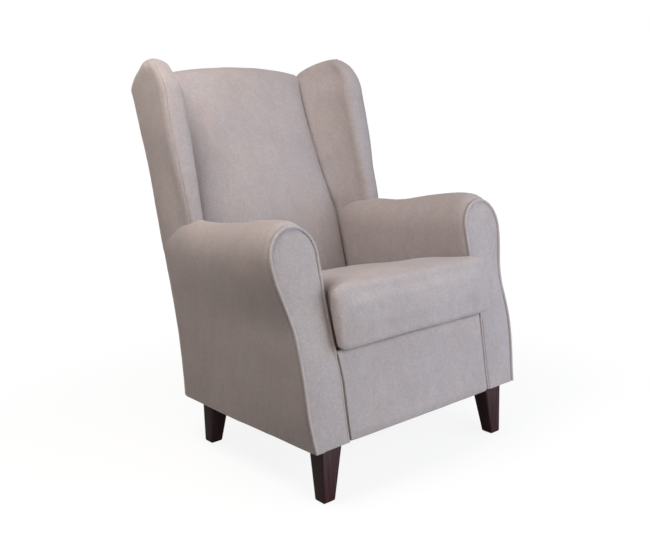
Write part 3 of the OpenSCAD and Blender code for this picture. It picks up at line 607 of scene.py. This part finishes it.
def arm_rows(left):
    rows = []
    for dy, tuck, drop in FRONT_TURN:
        rows.append([Vector((x, front_y(z) + FACE_DY + dy - 0.003, z)) for x, z in arm_profile(0.0, tuck, drop, left)])
    for s in steps(34)[1:]:
        rows.append([Vector((x, arm_y(s, z), z)) for x, z in arm_profile(s, 0.0, 0.0, left)])
    for i in range(1, 13):
        a = math.pi / 2 * i / 12
        row = []
        for x, z in arm_profile(1.0, 0.0, 0.0, left):
            cx, cy = side_x(z) - CORNER_R, back_y(z) - CORNER_R
            r = (x - cx) * mix(1, CORNER_R / (CORNER_R + ROLL_OUT_BACK), math.sin(a))
            if x > cx + 0.012:
                row.append(Vector((cx + r * math.cos(a), cy + r * math.sin(a), z)))
            elif i <= 3:
                row.append(Vector((x, cy + 0.005 * i, z)))
            else:
                row.append(None)
        rows.append(row)
    return rows


def make_arm(left):
    obj = grid("arm_cover_" + side_name(left), mirror_points(arm_rows(left), left), CLOTH_T)
    soften(obj, 0.0016, 0.11, 3 if left else 7)
    name = side_name(left)
    place(obj, "chair", cloth, "upholstery", "arm_cover_" + name, "outside_arm_" + name)


# Facings: the arm fronts, crowned inside their piping
def front_low(left):
    return CLEAR_H - (0.0 if left else RIGHT_FACING_DROP)


def facing_outline(step, count, left):
    """Edges of the arm front by height: (z, inner x, outer x) from the foot to the top of the roll."""
    def edge(z):
        return outer_x(z, 0.0) - step + left * left_belly(z, 0.0)

    x1 = edge(ROLL_H)
    x0 = ARM_IN + step
    mid, half = (x0 + x1) / 2, (x1 - x0) / 2
    rows = []
    for v in steps(count):
        z = mix(front_low(left), ROLL_H, v)
        rows.append((z, inner_x(z) + step, edge(z)))
    for i in range(1, count // 2 + 1):
        a = math.pi / 2 * i / (count // 2)
        rows.append((ROLL_H + (ROLL_RISE - ROLL_DROP - step) * math.sin(a), mid - half * math.cos(a),
                     mid + half * math.cos(a)))
    return rows


def make_facing(left):
    rows = []
    top = ARM_H - FACING_STEP - ROLL_DROP
    for z, x0, x1 in facing_outline(FACING_STEP, 30, left):
        row = []
        for u in steps(18):
            w = 0.5 - 0.5 * math.cos(math.pi * u)
            x = mix(x0, x1, w)
            edge = min(x - x0, x1 - x, (top - z) * 0.9, (z - CLEAR_H) * 0.8 + 0.004)
            rise = FACING_CROWN * (1 - math.exp(-max(0.0, edge) / FACING_EDGE)) + FACING_SWELL * ease(edge / 0.05)
            row.append(Vector((x, front_y(z) + FACING_SET - rise, z)))
        rows.append(row)
    obj = grid("arm_facing_" + side_name(left), mirror_points(rows, left), CLOTH_T)
    soften(obj, 0.0006, 0.07, 11 if left else 13)
    place(obj, "chair", cloth, "upholstery", "arm_facing_" + side_name(left))


def tube(name, path, radius, sides):
    rings = []
    for i, p in enumerate(path):
        t = (path[min(i + 1, len(path) - 1)] - path[max(i - 1, 0)]).normalized()
        u = t.cross(Vector((0, 1, 0))).normalized()
        v = t.cross(u)
        rings.append([p + radius * (math.cos(2 * math.pi * k / sides) * u + math.sin(2 * math.pi * k / sides) * v)
                      for k in range(sides)])
    return loft(name, rings)


def make_piping(left):
    outline = facing_outline(PIPING_IN, 60, left)
    flat = [(x0, z) for z, x0, x1 in outline] + [(x1, z) for z, x0, x1 in reversed(outline[:-1])]
    inner = len(outline)
    path = []
    for i, (x, z) in enumerate(flat):
        sink = (PIPING_SINK if i < inner else 0.0) * ease((SEAT_FRONT_H - z) / 0.03)
        path.append(Vector((x, front_y(z) + PIPING_SET + sink, z)))
    name = "arm_piping_" + side_name(left)
    obj = tube(name, mirror_points([path], left)[0], PIPING_R, PIPING_SIDES)
    # The piping's material is the lighter copy of the cloth: a painted highlight
    place(obj, "chair", piping_cloth_painted_highlight, "upholstery", name)


# Wings: level sections with a broad soft front face
GROOVE_CLEAR = 0.0007
CREST_UNEVEN = 0.006
FLARE_LOW = 0.545
FLARE_TOP = 0.760
FLARE_DIP = 0.0012
SEAM_TURN = math.radians(52)
SEAM_DIPS = ((-4, 0.0), (-1.5, 0.0004), (0, 0.0018), (1.5, 0.0004), (4, 0.0))
NOSE_TURN = sorted([(math.pi * i / 22, 0.0) for i in range(23) if i not in (6, 7)]
                   + [(SEAM_TURN + math.radians(d), dip) for d, dip in SEAM_DIPS])


def groove_y(z):
    return back_y(z) - groove_t(z)


def slant_x(y, z):
    y0 = WING_FOOT_Y + (min(z, LEAN_TOP) - WING_FOOT_H) * math.tan(WING_LEAN) + WING_T / 2
    g = mix(ARM_IN + 0.002, pad_x(z) + GROOVE_CLEAR, ease((z - 0.590) / 0.060))
    front = side_x(z) - WING_T + CREST_THIN * crest_share(z)
    return mix(g, front, clamp((groove_y(z) - y) / (groove_y(z) - y0)))


def wing_flare(y, z):
    """How far the wing's outer face stands out at its foot, to run on from the side of the arm."""
    s = clamp((y - arm_y(0.0, z)) / (arm_y(1.0, z) - arm_y(0.0, z)))
    flare = roll_over(s) * (1 - ease((z - FLARE_LOW) / (FLARE_TOP - FLARE_LOW)))
    return flare - FLARE_DIP * (1 - ease((z - FLARE_LOW) / 0.020))


def wing_ring(z):
    y0, y1 = wing_front(z), wing_rear(z)
    d = y1 - y0
    b = min(WING_NOSE, d * 0.45)
    r = min(CORNER_R, d * 0.45)
    k = min(groove_y(z), y1 - d * 0.1)
    v = max(0.0, (z - CREST_H + CREST_R) / CREST_R)
    f = math.sqrt(max(0.0, 1 - v * v))
    draw = FOOT_DRAW * (1 - ease((z - WING_FOOT_H + 0.03) / 0.30))
    xo, xi = side_x(z), slant_x(y0 + b, z)
    xf = xo - draw
    mid, a = (xf + xi) / 2, (xf - xi) / 2
    points = [(slant_x(y1, z), y1)]
    for i in range(9):
        t = math.pi / 2 * (1 - i / 8)
        points.append((xo - r + r * math.cos(t), y1 - r + r * math.sin(t)))
    for i in range(1, 6):
        w = i / 6
        points.append((mix(xo, xf, w) + 0.0025 * math.sin(math.pi * w), mix(y1 - r, y0 + b, w)))
    for t, dip in NOSE_TURN:
        c, s = math.cos(t), math.sin(t)
        points.append((mid + (a - dip) * math.copysign(abs(c) ** WING_BOX, c), y0 + b - (b - dip) * s ** WING_BOX))
    for w in (0.15, 0.32, 0.5, 0.68, 0.85, 1.0):
        y = mix(y0 + b, k, w)
        points.append((slant_x(y, z) + 0.004 * math.sin(math.pi * w), y))
    ring = []
    for x, y in points:
        x += wing_flare(y, z) * clamp((x - mid) / a) ** 0.7 * ease((y - y0) / 0.09)
        ring.append(Vector((mid + (x - mid) * f, y, z)))
    return ring


def make_wing(left):
    levels = [mix(WING_LOW, LEAN_TOP, v) for v in steps(24)]
    levels += [LEAN_TOP + CREST_FRONT_H * (1 - (1 - v) ** 1.8) for v in steps(22)[1:-1]]
    levels.append(CREST_H - 0.0003)
    rings = [wing_ring(z) for z in levels]
    if left:
        for ring in rings:
            for point in ring:
                point.z += CREST_UNEVEN * ease((point.z - CREST_THIN_H) / (CREST_H - CREST_THIN_H))
    obj = loft("wing_cover_" + side_name(left), mirror_points(rings, left))
    soften(obj, 0.0018, 0.10, 17 if left else 23)
    place(obj, "chair", cloth, "upholstery", "wing_cover_" + side_name(left))


# Inside back: a crowned pad that rolls over the top
def pad_front(u, z):
    c = mix(PAD_T_FOOT, PAD_T_TOP, back_share(z))
    return mix(groove_t(z), c, math.sqrt(max(0.0, 1 - abs(u) ** 3)))


def pad_ring(u):
    top = arch_z(u * PAD_W_TOP / 2)
    hem = top - BACK_HEM
    roll = pad_front(u, ARCH_H)
    high = top - roll * 0.6
    points = []
    for v in steps(34):
        z = mix(PAD_LOW, high, v)
        points.append((back_y(z) - pad_front(u, z) + 0.012 * (1 - ease(v / 0.05)), z))
    for i in range(1, 16):
        a = math.pi * i / 16
        z = mix(high if i < 8 else hem, top, math.sin(a) ** 0.9)
        points.append((back_y(z) - roll / 2 * (1 + math.cos(a)), z))
    points.append((back_y(hem) - 0.0008, hem + 0.001))
    points.append((back_y(hem) - 0.007, hem - 0.001))
    for v in (1.0, 0.75, 0.5, 0.25, 0.0):
        z = mix(PAD_LOW, hem - 0.04, v)
        points.append((back_y(z) - BACK_PANEL_T, z))
    return [Vector((u * pad_x(z), y, z)) for y, z in points]


def tuck_ring(sign):
    """The cloth at the side of the pad, tucked into the crevice as far as the arm and the wing."""
    ring = []
    for point in pad_ring(sign):
        y, z = point.y, point.z
        wall = min(ARM_IN, slant_x(y, z)) - TUCK_GAP
        x = max(pad_x(z), mix(wall, pad_x(z), ease((z - TUCK_END) / TUCK_FADE)))
        ring.append(Vector((sign * x, y + (TUCK_SET if y < back_y(z) - BACK_PANEL_T - TUCK_SET else 0.0), z)))
    return ring


def make_inside_back():
    shares = [math.sin(math.pi / 2 * w) for w in spread(40)]
    obj = loft("inside_back", [tuck_ring(-1)] + [pad_ring(u) for u in shares] + [tuck_ring(1)])
    soften(obj, 0.0030, 0.16, 31, lambda co: clamp((pad_x(co.z) + 0.001 - abs(co.x)) / 0.012))
    place(obj, "chair", cloth, "upholstery", "inside_back")


# Outside back: a stretched panel between the wings
def make_outside_back():
    rows = []
    half = PAD_W_TOP / 2
    reach = side_x(PANEL_TOP_H) - CORNER_R
    for v in steps(44):
        row = []
        for u in spread(30):
            x_top = u * reach
            if abs(x_top) <= half:
                top = arch_z(x_top) - BACK_HEM
            else:
                share = (abs(x_top) - half) / (reach - half)
                top = mix(arch_z(half) - BACK_HEM, CREST_H - CREST_REAR_H - PANEL_SINK, share)
            z = mix(CLEAR_H - HEM_TUCK, top, v)
            x = u * (side_x(z) - CORNER_R - 0.0003)
            edge = min((1 - abs(u)) * 0.29, (top - z), (z - CLEAR_H) + 0.006)
            crown = 0.0022 * ease(edge / 0.03) - 0.003 * (1 - ease(edge / 0.006))
            row.append(Vector((x, back_y(z) - 0.0012 + crown, z)))
        rows.append(row)
    obj = grid("outside_back", rows, CLOTH_T)
    soften(obj, 0.0010, 0.16, 37, lambda co: clamp((0.29 - abs(co.x)) / 0.05))
    place(obj, "chair", cloth, "upholstery", "outside_back")


def make_shoulder(left):
    """Cloth from the end of the back's roll to the rear of the wing. It runs through the top rail and the wing."""
    half = PAD_W_TOP / 2
    rings = []
    for v in steps(10):
        x = half - SHOULDER_LAP + SHOULDER_W * v
        top = mix(arch_z(half) - BACK_HEM - 0.001, CREST_H - CREST_REAR_H - 0.0005, ease(v))
        front, rear = BACK_PANEL_T + SHOULDER_FRONT, SHOULDER_REAR
        rings.append([Vector((x, back_y(z) - d, z)) for z, d in (
            (SHOULDER_LOW, front), (top, front), (top, rear), (SHOULDER_LOW, rear))])
    obj = loft("back_shoulder_" + side_name(left), mirror_points(rings, left))
    apply_modifier(obj, "BEVEL", width=SHOULDER_EDGE, segments=3)
    clean_up(obj)
    place(obj, "chair", cloth, "upholstery")


# Front border, under the cushion: how far each end is tucked in, and its gap to the arm
OPEN_SEAM = (0.0060, 0.0028)
CLOSED_SEAM = (0.0010, 0.0004)


def make_border():
    r = BORDER_R
    rings = []
    q = DECK_T
    half = ARM_IN - 0.0004

    def meet(dy, below):
        t, p = math.tan(FRONT_RAKE), math.tan(SEAT_PITCH)
        return (SEAT_FRONT_H - below / math.cos(SEAT_PITCH) - (FOOT_Y + dy - CLEAR_H * t - SEAT_Y) * p) / (1 + t * p)

    nose_dy = r / math.cos(FRONT_RAKE)
    nose = meet(nose_dy, r + 0.0005)
    turn = math.pi / 2 + SEAT_PITCH - FRONT_RAKE
    for u in spread(40):
        edge = half * (1 - abs(u))
        end_tuck, gap = OPEN_SEAM if u > 0 else CLOSED_SEAM
        tuck = end_tuck * (1 - ease(edge / 0.010)) - 0.0012 * ease(edge / 0.08)
        points = [(front_y(z) + FACE_DY, z) for z in (meet(FACE_DY, q), CLEAR_H - HEM_TUCK)]
        points += [(front_y(CLEAR_H) + 0.004 + tuck, CLEAR_H - 0.0015)]
        for v in steps(10):
            z = mix(CLEAR_H + 0.003, nose, v)
            points.append((front_y(z) + tuck, z))
        for i in range(1, 9):
            a = math.pi - FRONT_RAKE - turn * i / 8
            points.append((front_y(nose) + nose_dy + r * math.cos(a) + tuck, nose + r * math.sin(a)))
        points += [(front_y(meet(BORDER_DEPTH, b)) + BORDER_DEPTH, meet(BORDER_DEPTH, b)) for b in (0.0005, q)]
        rings.append([Vector((u * (inner_x(z) - gap), y, z)) for y, z in points])
    obj = loft("front_border", rings)
    soften(obj, 0.0008, 0.09, 41)
    place(obj, "chair", cloth, "upholstery", "front_border")


# Seat cushion
def cushion_half(s):
    ear = 1 - ease((s - 0.014) / 0.012)
    draw = CUSHION_DRAW * math.sin(math.pi * clamp(s / CUSHION_L))
    return ARM_IN - CUSHION_GAP - draw + (EAR_OUT + CUSHION_GAP) * ear


CLOTH_FRAMES = 20
CLOTH_VOXEL = 0.006
CLOTH_PRESSURE = 4.0
CLOTH_CAP = 0.005
SEAM_DEPTH = 0.0016
CROWN_SHARES = (0.94, 0.85, 0.72, 0.55, 0.35, 0.15, -0.15, -0.35, -0.55, -0.72, -0.85, -0.94)


def cushion_ring(s, shrink, lift):
    w = cushion_half(max(s, 0.0))
    h = CUSHION_T + FRONT_PLUMP * (1 - ease(s / 0.30))
    crown = lift * TOP_CROWN
    points = []
    for cx, cz, start in ((-1, 0, 180), (1, 0, 270), (1, 1, 0), (-1, 1, 90)):
        r = EDGE_TOP if cz else EDGE_LOW
        for i in range(9):
            a = math.radians(start + 90 * i / 8)
            points.append((cx * (w - r) + r * math.cos(a), (h - r if cz else r) + r * math.sin(a)))
        if (cx, cz) == (-1, 0):
            points += [((w - r) * u, 0.0) for u in (-0.7, -0.35, 0, 0.35, 0.7)]
        elif (cx, cz) == (1, 0):
            points += [(w + 0.002, h * 0.42)]
        elif (cx, cz) == (1, 1):
            points += [((w - r) * u, h + crown * (1 - abs(u) ** 4)) for u in CROWN_SHARES]
        else:
            points += [(-w - 0.002, h * 0.42)]
    c = h / 2
    droop = NOSE_DROOP * (1 - ease((s + 0.004) / 0.012))
    ring = [(x * (1 - shrink / w), c + (z - c) * (1 - shrink / c)) for x, z in points]
    return [on_seat(x, s, z - droop * (1 - ease(z / 0.05))) for x, z in ring]


def inflate(obj, voxel, pressure, cap):
    """Blow the padded cover up as cloth, let no point move further than the cap, and keep the result as the mesh."""
    apply_modifier(obj, "REMESH", mode="VOXEL", voxel_size=voxel, use_smooth_shade=True)
    rest = [v.co.copy() for v in obj.data.vertices]
    cover = obj.modifiers.new("cover", "CLOTH")
    cover.settings.use_pressure = True
    cover.settings.uniform_pressure_force = pressure
    cover.settings.effector_weights.gravity = 0
    cover.settings.quality = 4
    cover.point_cache.frame_start = 1
    cover.point_cache.frame_end = CLOTH_FRAMES
    for number in range(1, CLOTH_FRAMES + 1):
        bpy.context.scene.frame_set(number)
    graph = bpy.context.evaluated_depsgraph_get()
    moved = [v.co.copy() for v in obj.evaluated_get(graph).data.vertices]
    obj.modifiers.clear()
    bpy.context.scene.frame_set(1)
    for vertex, start, end in zip(obj.data.vertices, rest, moved):
        step = end - start
        vertex.co = start + step * min(1.0, cap / max(step.length, 1e-9))
    apply_modifier(obj, "SMOOTH", factor=0.5, iterations=16)
    apply_modifier(obj, "SUBSURF", levels=1)


def settle_cushion(obj):
    """Sew the corner seams, and keep the cushion off the arms beside it and the deck under it."""
    c, n = math.cos(SEAT_PITCH), math.sin(SEAT_PITCH)
    normals = [v.normal.copy() for v in obj.data.vertices]
    for v, nrm in zip(obj.data.vertices, normals):
        dy, dz = v.co.y - SEAT_Y, v.co.z - SEAT_FRONT_H
        s, h = dy * c - dz * n, dy * n + dz * c
        seam = cushion_half(0.0) - 0.005 - (0.003 - s) * 0.6
        off = (abs(v.co.x) - seam) / 0.0024
        if s < 0.012 and 0.006 < h < CUSHION_T + 0.004:
            v.co -= nrm * SEAM_DEPTH * math.exp(-off * off)
        floor_h = 0.0006 - NOSE_DROOP * (1 - ease((s + 0.002) / 0.008))
        if h < floor_h:
            v.co = on_seat(v.co.x, s, floor_h)
        limit = cushion_half(max(s, 0.0)) + 0.002
        v.co.x = max(-limit, min(limit, v.co.x))
    obj.data.update()
    obj.data.shade_smooth()


def make_cushion():
    rings = []
    for k in steps(8)[:-1]:
        rings.append(cushion_ring(-NOSE_CROWN + (NOSE_CROWN - NOSE_SET) * k * k, mix(CUSHION_FACE, NOSE_R, k), 0.35))
    for i in range(9):
        a = math.pi / 2 * i / 8
        rings.append(cushion_ring(-NOSE_SET + NOSE_R * (1 - math.cos(a)), NOSE_R * (1 - math.sin(a)), 0.35))
    for v in steps(34)[1:-1]:
        s = mix(NOSE_R - NOSE_SET, CUSHION_L - CUSHION_REAR_R, v)
        rings.append(cushion_ring(s, 0.0, mix(0.35, 1.0, ease(v * 5)) * mix(0.40, 1.0, ease((1 - v) * 3))))
    for i in range(8, -1, -1):
        a = math.pi / 2 * i / 8
        s = CUSHION_L - CUSHION_REAR_R + CUSHION_REAR_R * math.cos(a)
        rings.append(cushion_ring(s, CUSHION_REAR_R * (1 - math.sin(a)), 0.40))
    for k in steps(5)[1:]:
        rings.append(cushion_ring(CUSHION_L, mix(CUSHION_REAR_R, CUSHION_FACE, k), 0.3))
    obj = loft("seat_cushion", rings)
    inflate(obj, CLOTH_VOXEL, CLOTH_PRESSURE, CLOTH_CAP)
    soften(obj, 0.0016, 0.15, 47)
    settle_cushion(obj)
    place(obj, "seat_cushion", cloth, "upholstery", "cushion_cover", "cushion_core")


# Deck under the cushion and lining under the frame
def make_deck():
    front = front_y(SEAT_FRONT_H) + DECK_FRONT_SET
    rear = back_y(SEAT_FRONT_H) - DECK_REAR_SET
    rings = []
    half = ARM_IN - DECK_DROP
    for v in steps(20):
        y = mix(front, rear, v)
        points = []
        for u in spread(20):
            dip = DECK_DIP * (1 - u * u) * math.sin(math.pi * v)
            points.append(Vector((u * half, y, seat_z(y) - DECK_DROP - dip)))
        for u in (1, 0.5, 0, -0.5, -1):
            points.append(Vector((u * half, y, seat_z(y) - DECK_T)))
        rings.append(points)
    obj = loft("seat_deck", rings)
    # The deck's material is the darker copy of the cloth: painted shade under the cushion
    place(obj, "chair", deck_cloth_painted_shade, "upholstery", "seat_deck")


def make_lining():
    rows = []
    half_top, corner_r, sag_depth = 0.349, 0.055, 0.002
    y0, y1 = FOOT_Y + FACING_T + 0.002, back_y(CLEAR_H) - 0.0065
    for v in steps(30):
        y = mix(y0, y1, v)
        corner = clamp((y - (y1 - corner_r)) / corner_r)
        half = half_top - corner_r * (1 - math.sqrt(1 - corner * corner))
        row = []
        for u in spread(30):
            sag = sag_depth * (1 - u ** 4) * (1 - (2 * v - 1) ** 4)
            row.append(Vector((u * half, y, CLEAR_H - 0.0004 - sag)))
        rows.append(row)
    obj = grid("dust_cover", rows, 0.0008)
    place(obj, "chair", lining, "lining", "dust_cover")


# Legs: square, straight outside and tapered inside, with eased edges
def make_leg(front, left):
    x = LEG_X
    y = FOOT_Y + LEG_FRONT_SET if front else back_y(CLEAR_H) - LEG_REAR_SET
    inward = 1 if front else -1
    rings = []
    for z, w, flare in ((LEG_END, LEG_FOOT, 0.0), (CLEAR_H, LEG_TOP, LEG_FLARE)):
        rings.append([Vector((x, y, z)), Vector((x, y + inward * w, z)),
                      Vector((x - w - flare, y + inward * w, z)), Vector((x - w - flare, y, z))])
    name = "leg_" + ("front_" if front else "rear_") + side_name(left)
    obj = loft(name, mirror_points(rings, left))
    apply_modifier(obj, "BEVEL", width=LEG_EDGE, segments=4)
    clean_up(obj, 35)
    place(obj, "chair", leg_wood, "dark_wood", name)


for is_left in (True, False):
    make_arm(is_left)
    make_facing(is_left)
    make_piping(is_left)
    make_wing(is_left)
    make_shoulder(is_left)
    for is_front in (True, False):
        make_leg(is_front, is_left)
make_inside_back()
make_outside_back()
make_border()
make_cushion()
make_deck()
make_lining()

# Materials of the solids that stay
STAYING = {
    "foot_glides": zinc, "leg_bolts": zinc, "tee_nuts": zinc, "seat_springs": zinc, "spring_clips": zinc,
    "back_webbing": strap_cloth, "front_rail": rail_wood, "rear_rail": rail_wood,
    "back_top_rail": rail_wood, "back_lower_rail": rail_wood, "corner_blocks": rail_wood}
for name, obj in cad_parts.items():
    material = STAYING.get(name, frame_wood)
    for material_slot in obj.material_slots:
        material_slot.material = material
    if not obj.material_slots:
        obj.data.materials.append(material)


# Floor, lamps and camera
FLOOR_GLOW = 1.02
FLOOR_BOUNCE = (0.30, 0.29, 0.28, 1)
SHADOW_LOSS = (("From Min", 0.55), ("From Max", 1.7), ("To Min", 0.86), ("To Max", 1.0))


def make_floor():
    """For the camera mostly glow, which leaves a faint shadow by the chair. For other rays a duller grey."""
    mat = bpy.data.materials.new("floor_white")
    mat.use_nodes = True
    nodes, links = mat.node_tree.nodes, mat.node_tree.links
    nodes.clear()
    out = nodes.new("ShaderNodeOutputMaterial")
    blend = nodes.new("ShaderNodeMixShader")
    diffuse = nodes.new("ShaderNodeBsdfDiffuse")
    diffuse.inputs["Color"].default_value = (0.98, 0.98, 0.98, 1)
    glow = nodes.new("ShaderNodeEmission")
    glow.inputs["Color"].default_value = (1, 1, 1, 1)
    glow.inputs["Strength"].default_value = FLOOR_GLOW
    coord = nodes.new("ShaderNodeTexCoord")
    reach = nodes.new("ShaderNodeVectorMath")
    reach.operation = "LENGTH"
    fade = nodes.new("ShaderNodeMapRange")
    fade.interpolation_type = "SMOOTHSTEP"
    for key, value in SHADOW_LOSS:
        fade.inputs[key].default_value = value
    links.new(coord.outputs["Object"], reach.inputs[0])
    links.new(reach.outputs["Value"], fade.inputs["Value"])
    links.new(fade.outputs["Result"], blend.inputs["Fac"])
    links.new(diffuse.outputs[0], blend.inputs[1])
    links.new(glow.outputs[0], blend.inputs[2])
    bounce = nodes.new("ShaderNodeBsdfDiffuse")
    bounce.inputs["Color"].default_value = FLOOR_BOUNCE
    path = nodes.new("ShaderNodeLightPath")
    seen = nodes.new("ShaderNodeMixShader")
    links.new(path.outputs["Is Camera Ray"], seen.inputs["Fac"])
    links.new(bounce.outputs[0], seen.inputs[1])
    links.new(blend.outputs[0], seen.inputs[2])
    links.new(seen.outputs[0], out.inputs["Surface"])
    floor = new_object("floor", [(-9, -9, 0), (9, -9, 0), (9, 9, 0), (-9, 9, 0)], [(0, 1, 2, 3)])
    floor.data.materials.append(mat)


def make_world(ambient):
    world = bpy.data.worlds.new("studio")
    bpy.context.scene.world = world
    world.use_nodes = True
    nodes, links = world.node_tree.nodes, world.node_tree.links
    nodes.clear()
    out = nodes.new("ShaderNodeOutputWorld")
    blend = nodes.new("ShaderNodeMixShader")
    light = nodes.new("ShaderNodeBackground")
    light.inputs["Color"].default_value = (1.0, 0.95, 0.92, 1)
    light.inputs["Strength"].default_value = ambient
    seen = nodes.new("ShaderNodeBackground")
    seen.inputs["Color"].default_value = (1, 1, 1, 1)
    seen.inputs["Strength"].default_value = 1.0
    path = nodes.new("ShaderNodeLightPath")
    either = nodes.new("ShaderNodeMath")
    either.operation = "MAXIMUM"
    links.new(path.outputs["Is Camera Ray"], either.inputs[0])
    links.new(path.outputs["Is Transmission Ray"], either.inputs[1])
    links.new(either.outputs[0], blend.inputs["Fac"])
    links.new(light.outputs[0], blend.inputs[1])
    links.new(seen.outputs[0], blend.inputs[2])
    links.new(blend.outputs[0], out.inputs["Surface"])


def area_lamp(name, place_at, aim, size, watts, colour):
    data = bpy.data.lights.new(name, "AREA")
    data.shape = "SQUARE"
    data.size = size
    data.energy = watts
    data.color = colour
    lamp = bpy.data.objects.new(name, data)
    bpy.context.scene.collection.objects.link(lamp)
    lamp.location = place_at
    lamp.rotation_euler = (Vector(aim) - Vector(place_at)).to_track_quat("-Z", "Y").to_euler()


def make_camera():
    data = bpy.data.cameras.new("camera")
    data.sensor_fit = "HORIZONTAL"
    data.sensor_width = SENSOR_W
    data.lens = SENSOR_W * FOCAL_PX / PHOTO_W
    cam = bpy.data.objects.new("camera", data)
    bpy.context.scene.collection.objects.link(cam)
    back = Vector((math.sin(CAM_AZ) * math.cos(CAM_EL), -math.cos(CAM_AZ) * math.cos(CAM_EL), math.sin(CAM_EL)))
    right = Vector((math.cos(CAM_AZ), math.sin(CAM_AZ), 0))
    up = back.cross(right)
    r = right * math.cos(CAM_ROLL) + up * math.sin(CAM_ROLL)
    u = up * math.cos(CAM_ROLL) - right * math.sin(CAM_ROLL)
    cam.matrix_world = Matrix.Translation(CAM_PLACE) @ Matrix((r, u, back)).transposed().to_4x4()
    bpy.context.scene.camera = cam


make_floor()
make_world(0.07)
area_lamp("key", (0.1, -2.3, 0.70), (0, 0, 0.40), 1.6, 33, (0.96, 0.99, 1.0))
area_lamp("front_right", (1.6, -2.1, 0.9), (0, 0, 0.45), 1.6, 31, (0.62, 0.73, 1.0))
area_lamp("high_left", (-1.05, -0.18, 1.95), (-0.6, 0, 0.3), 0.8, 25, (1.0, 0.90, 0.85))
area_lamp("left", (-2.6, -0.2, 2.8), (0, 0, 0.8), 1.6, 3, (0.80, 0.95, 1.0))
area_lamp("top", (0.2, 0.2, 3.2), (0, 0, 0.5), 2.4, 18, (1.0, 0.98, 0.92))
area_lamp("rear", (0.6, 3.2, 1.4), (0, 0, 0.5), 1.6, 30, (1.0, 0.98, 0.96))
make_camera()

bpy.context.scene.view_settings.view_transform = "Standard"
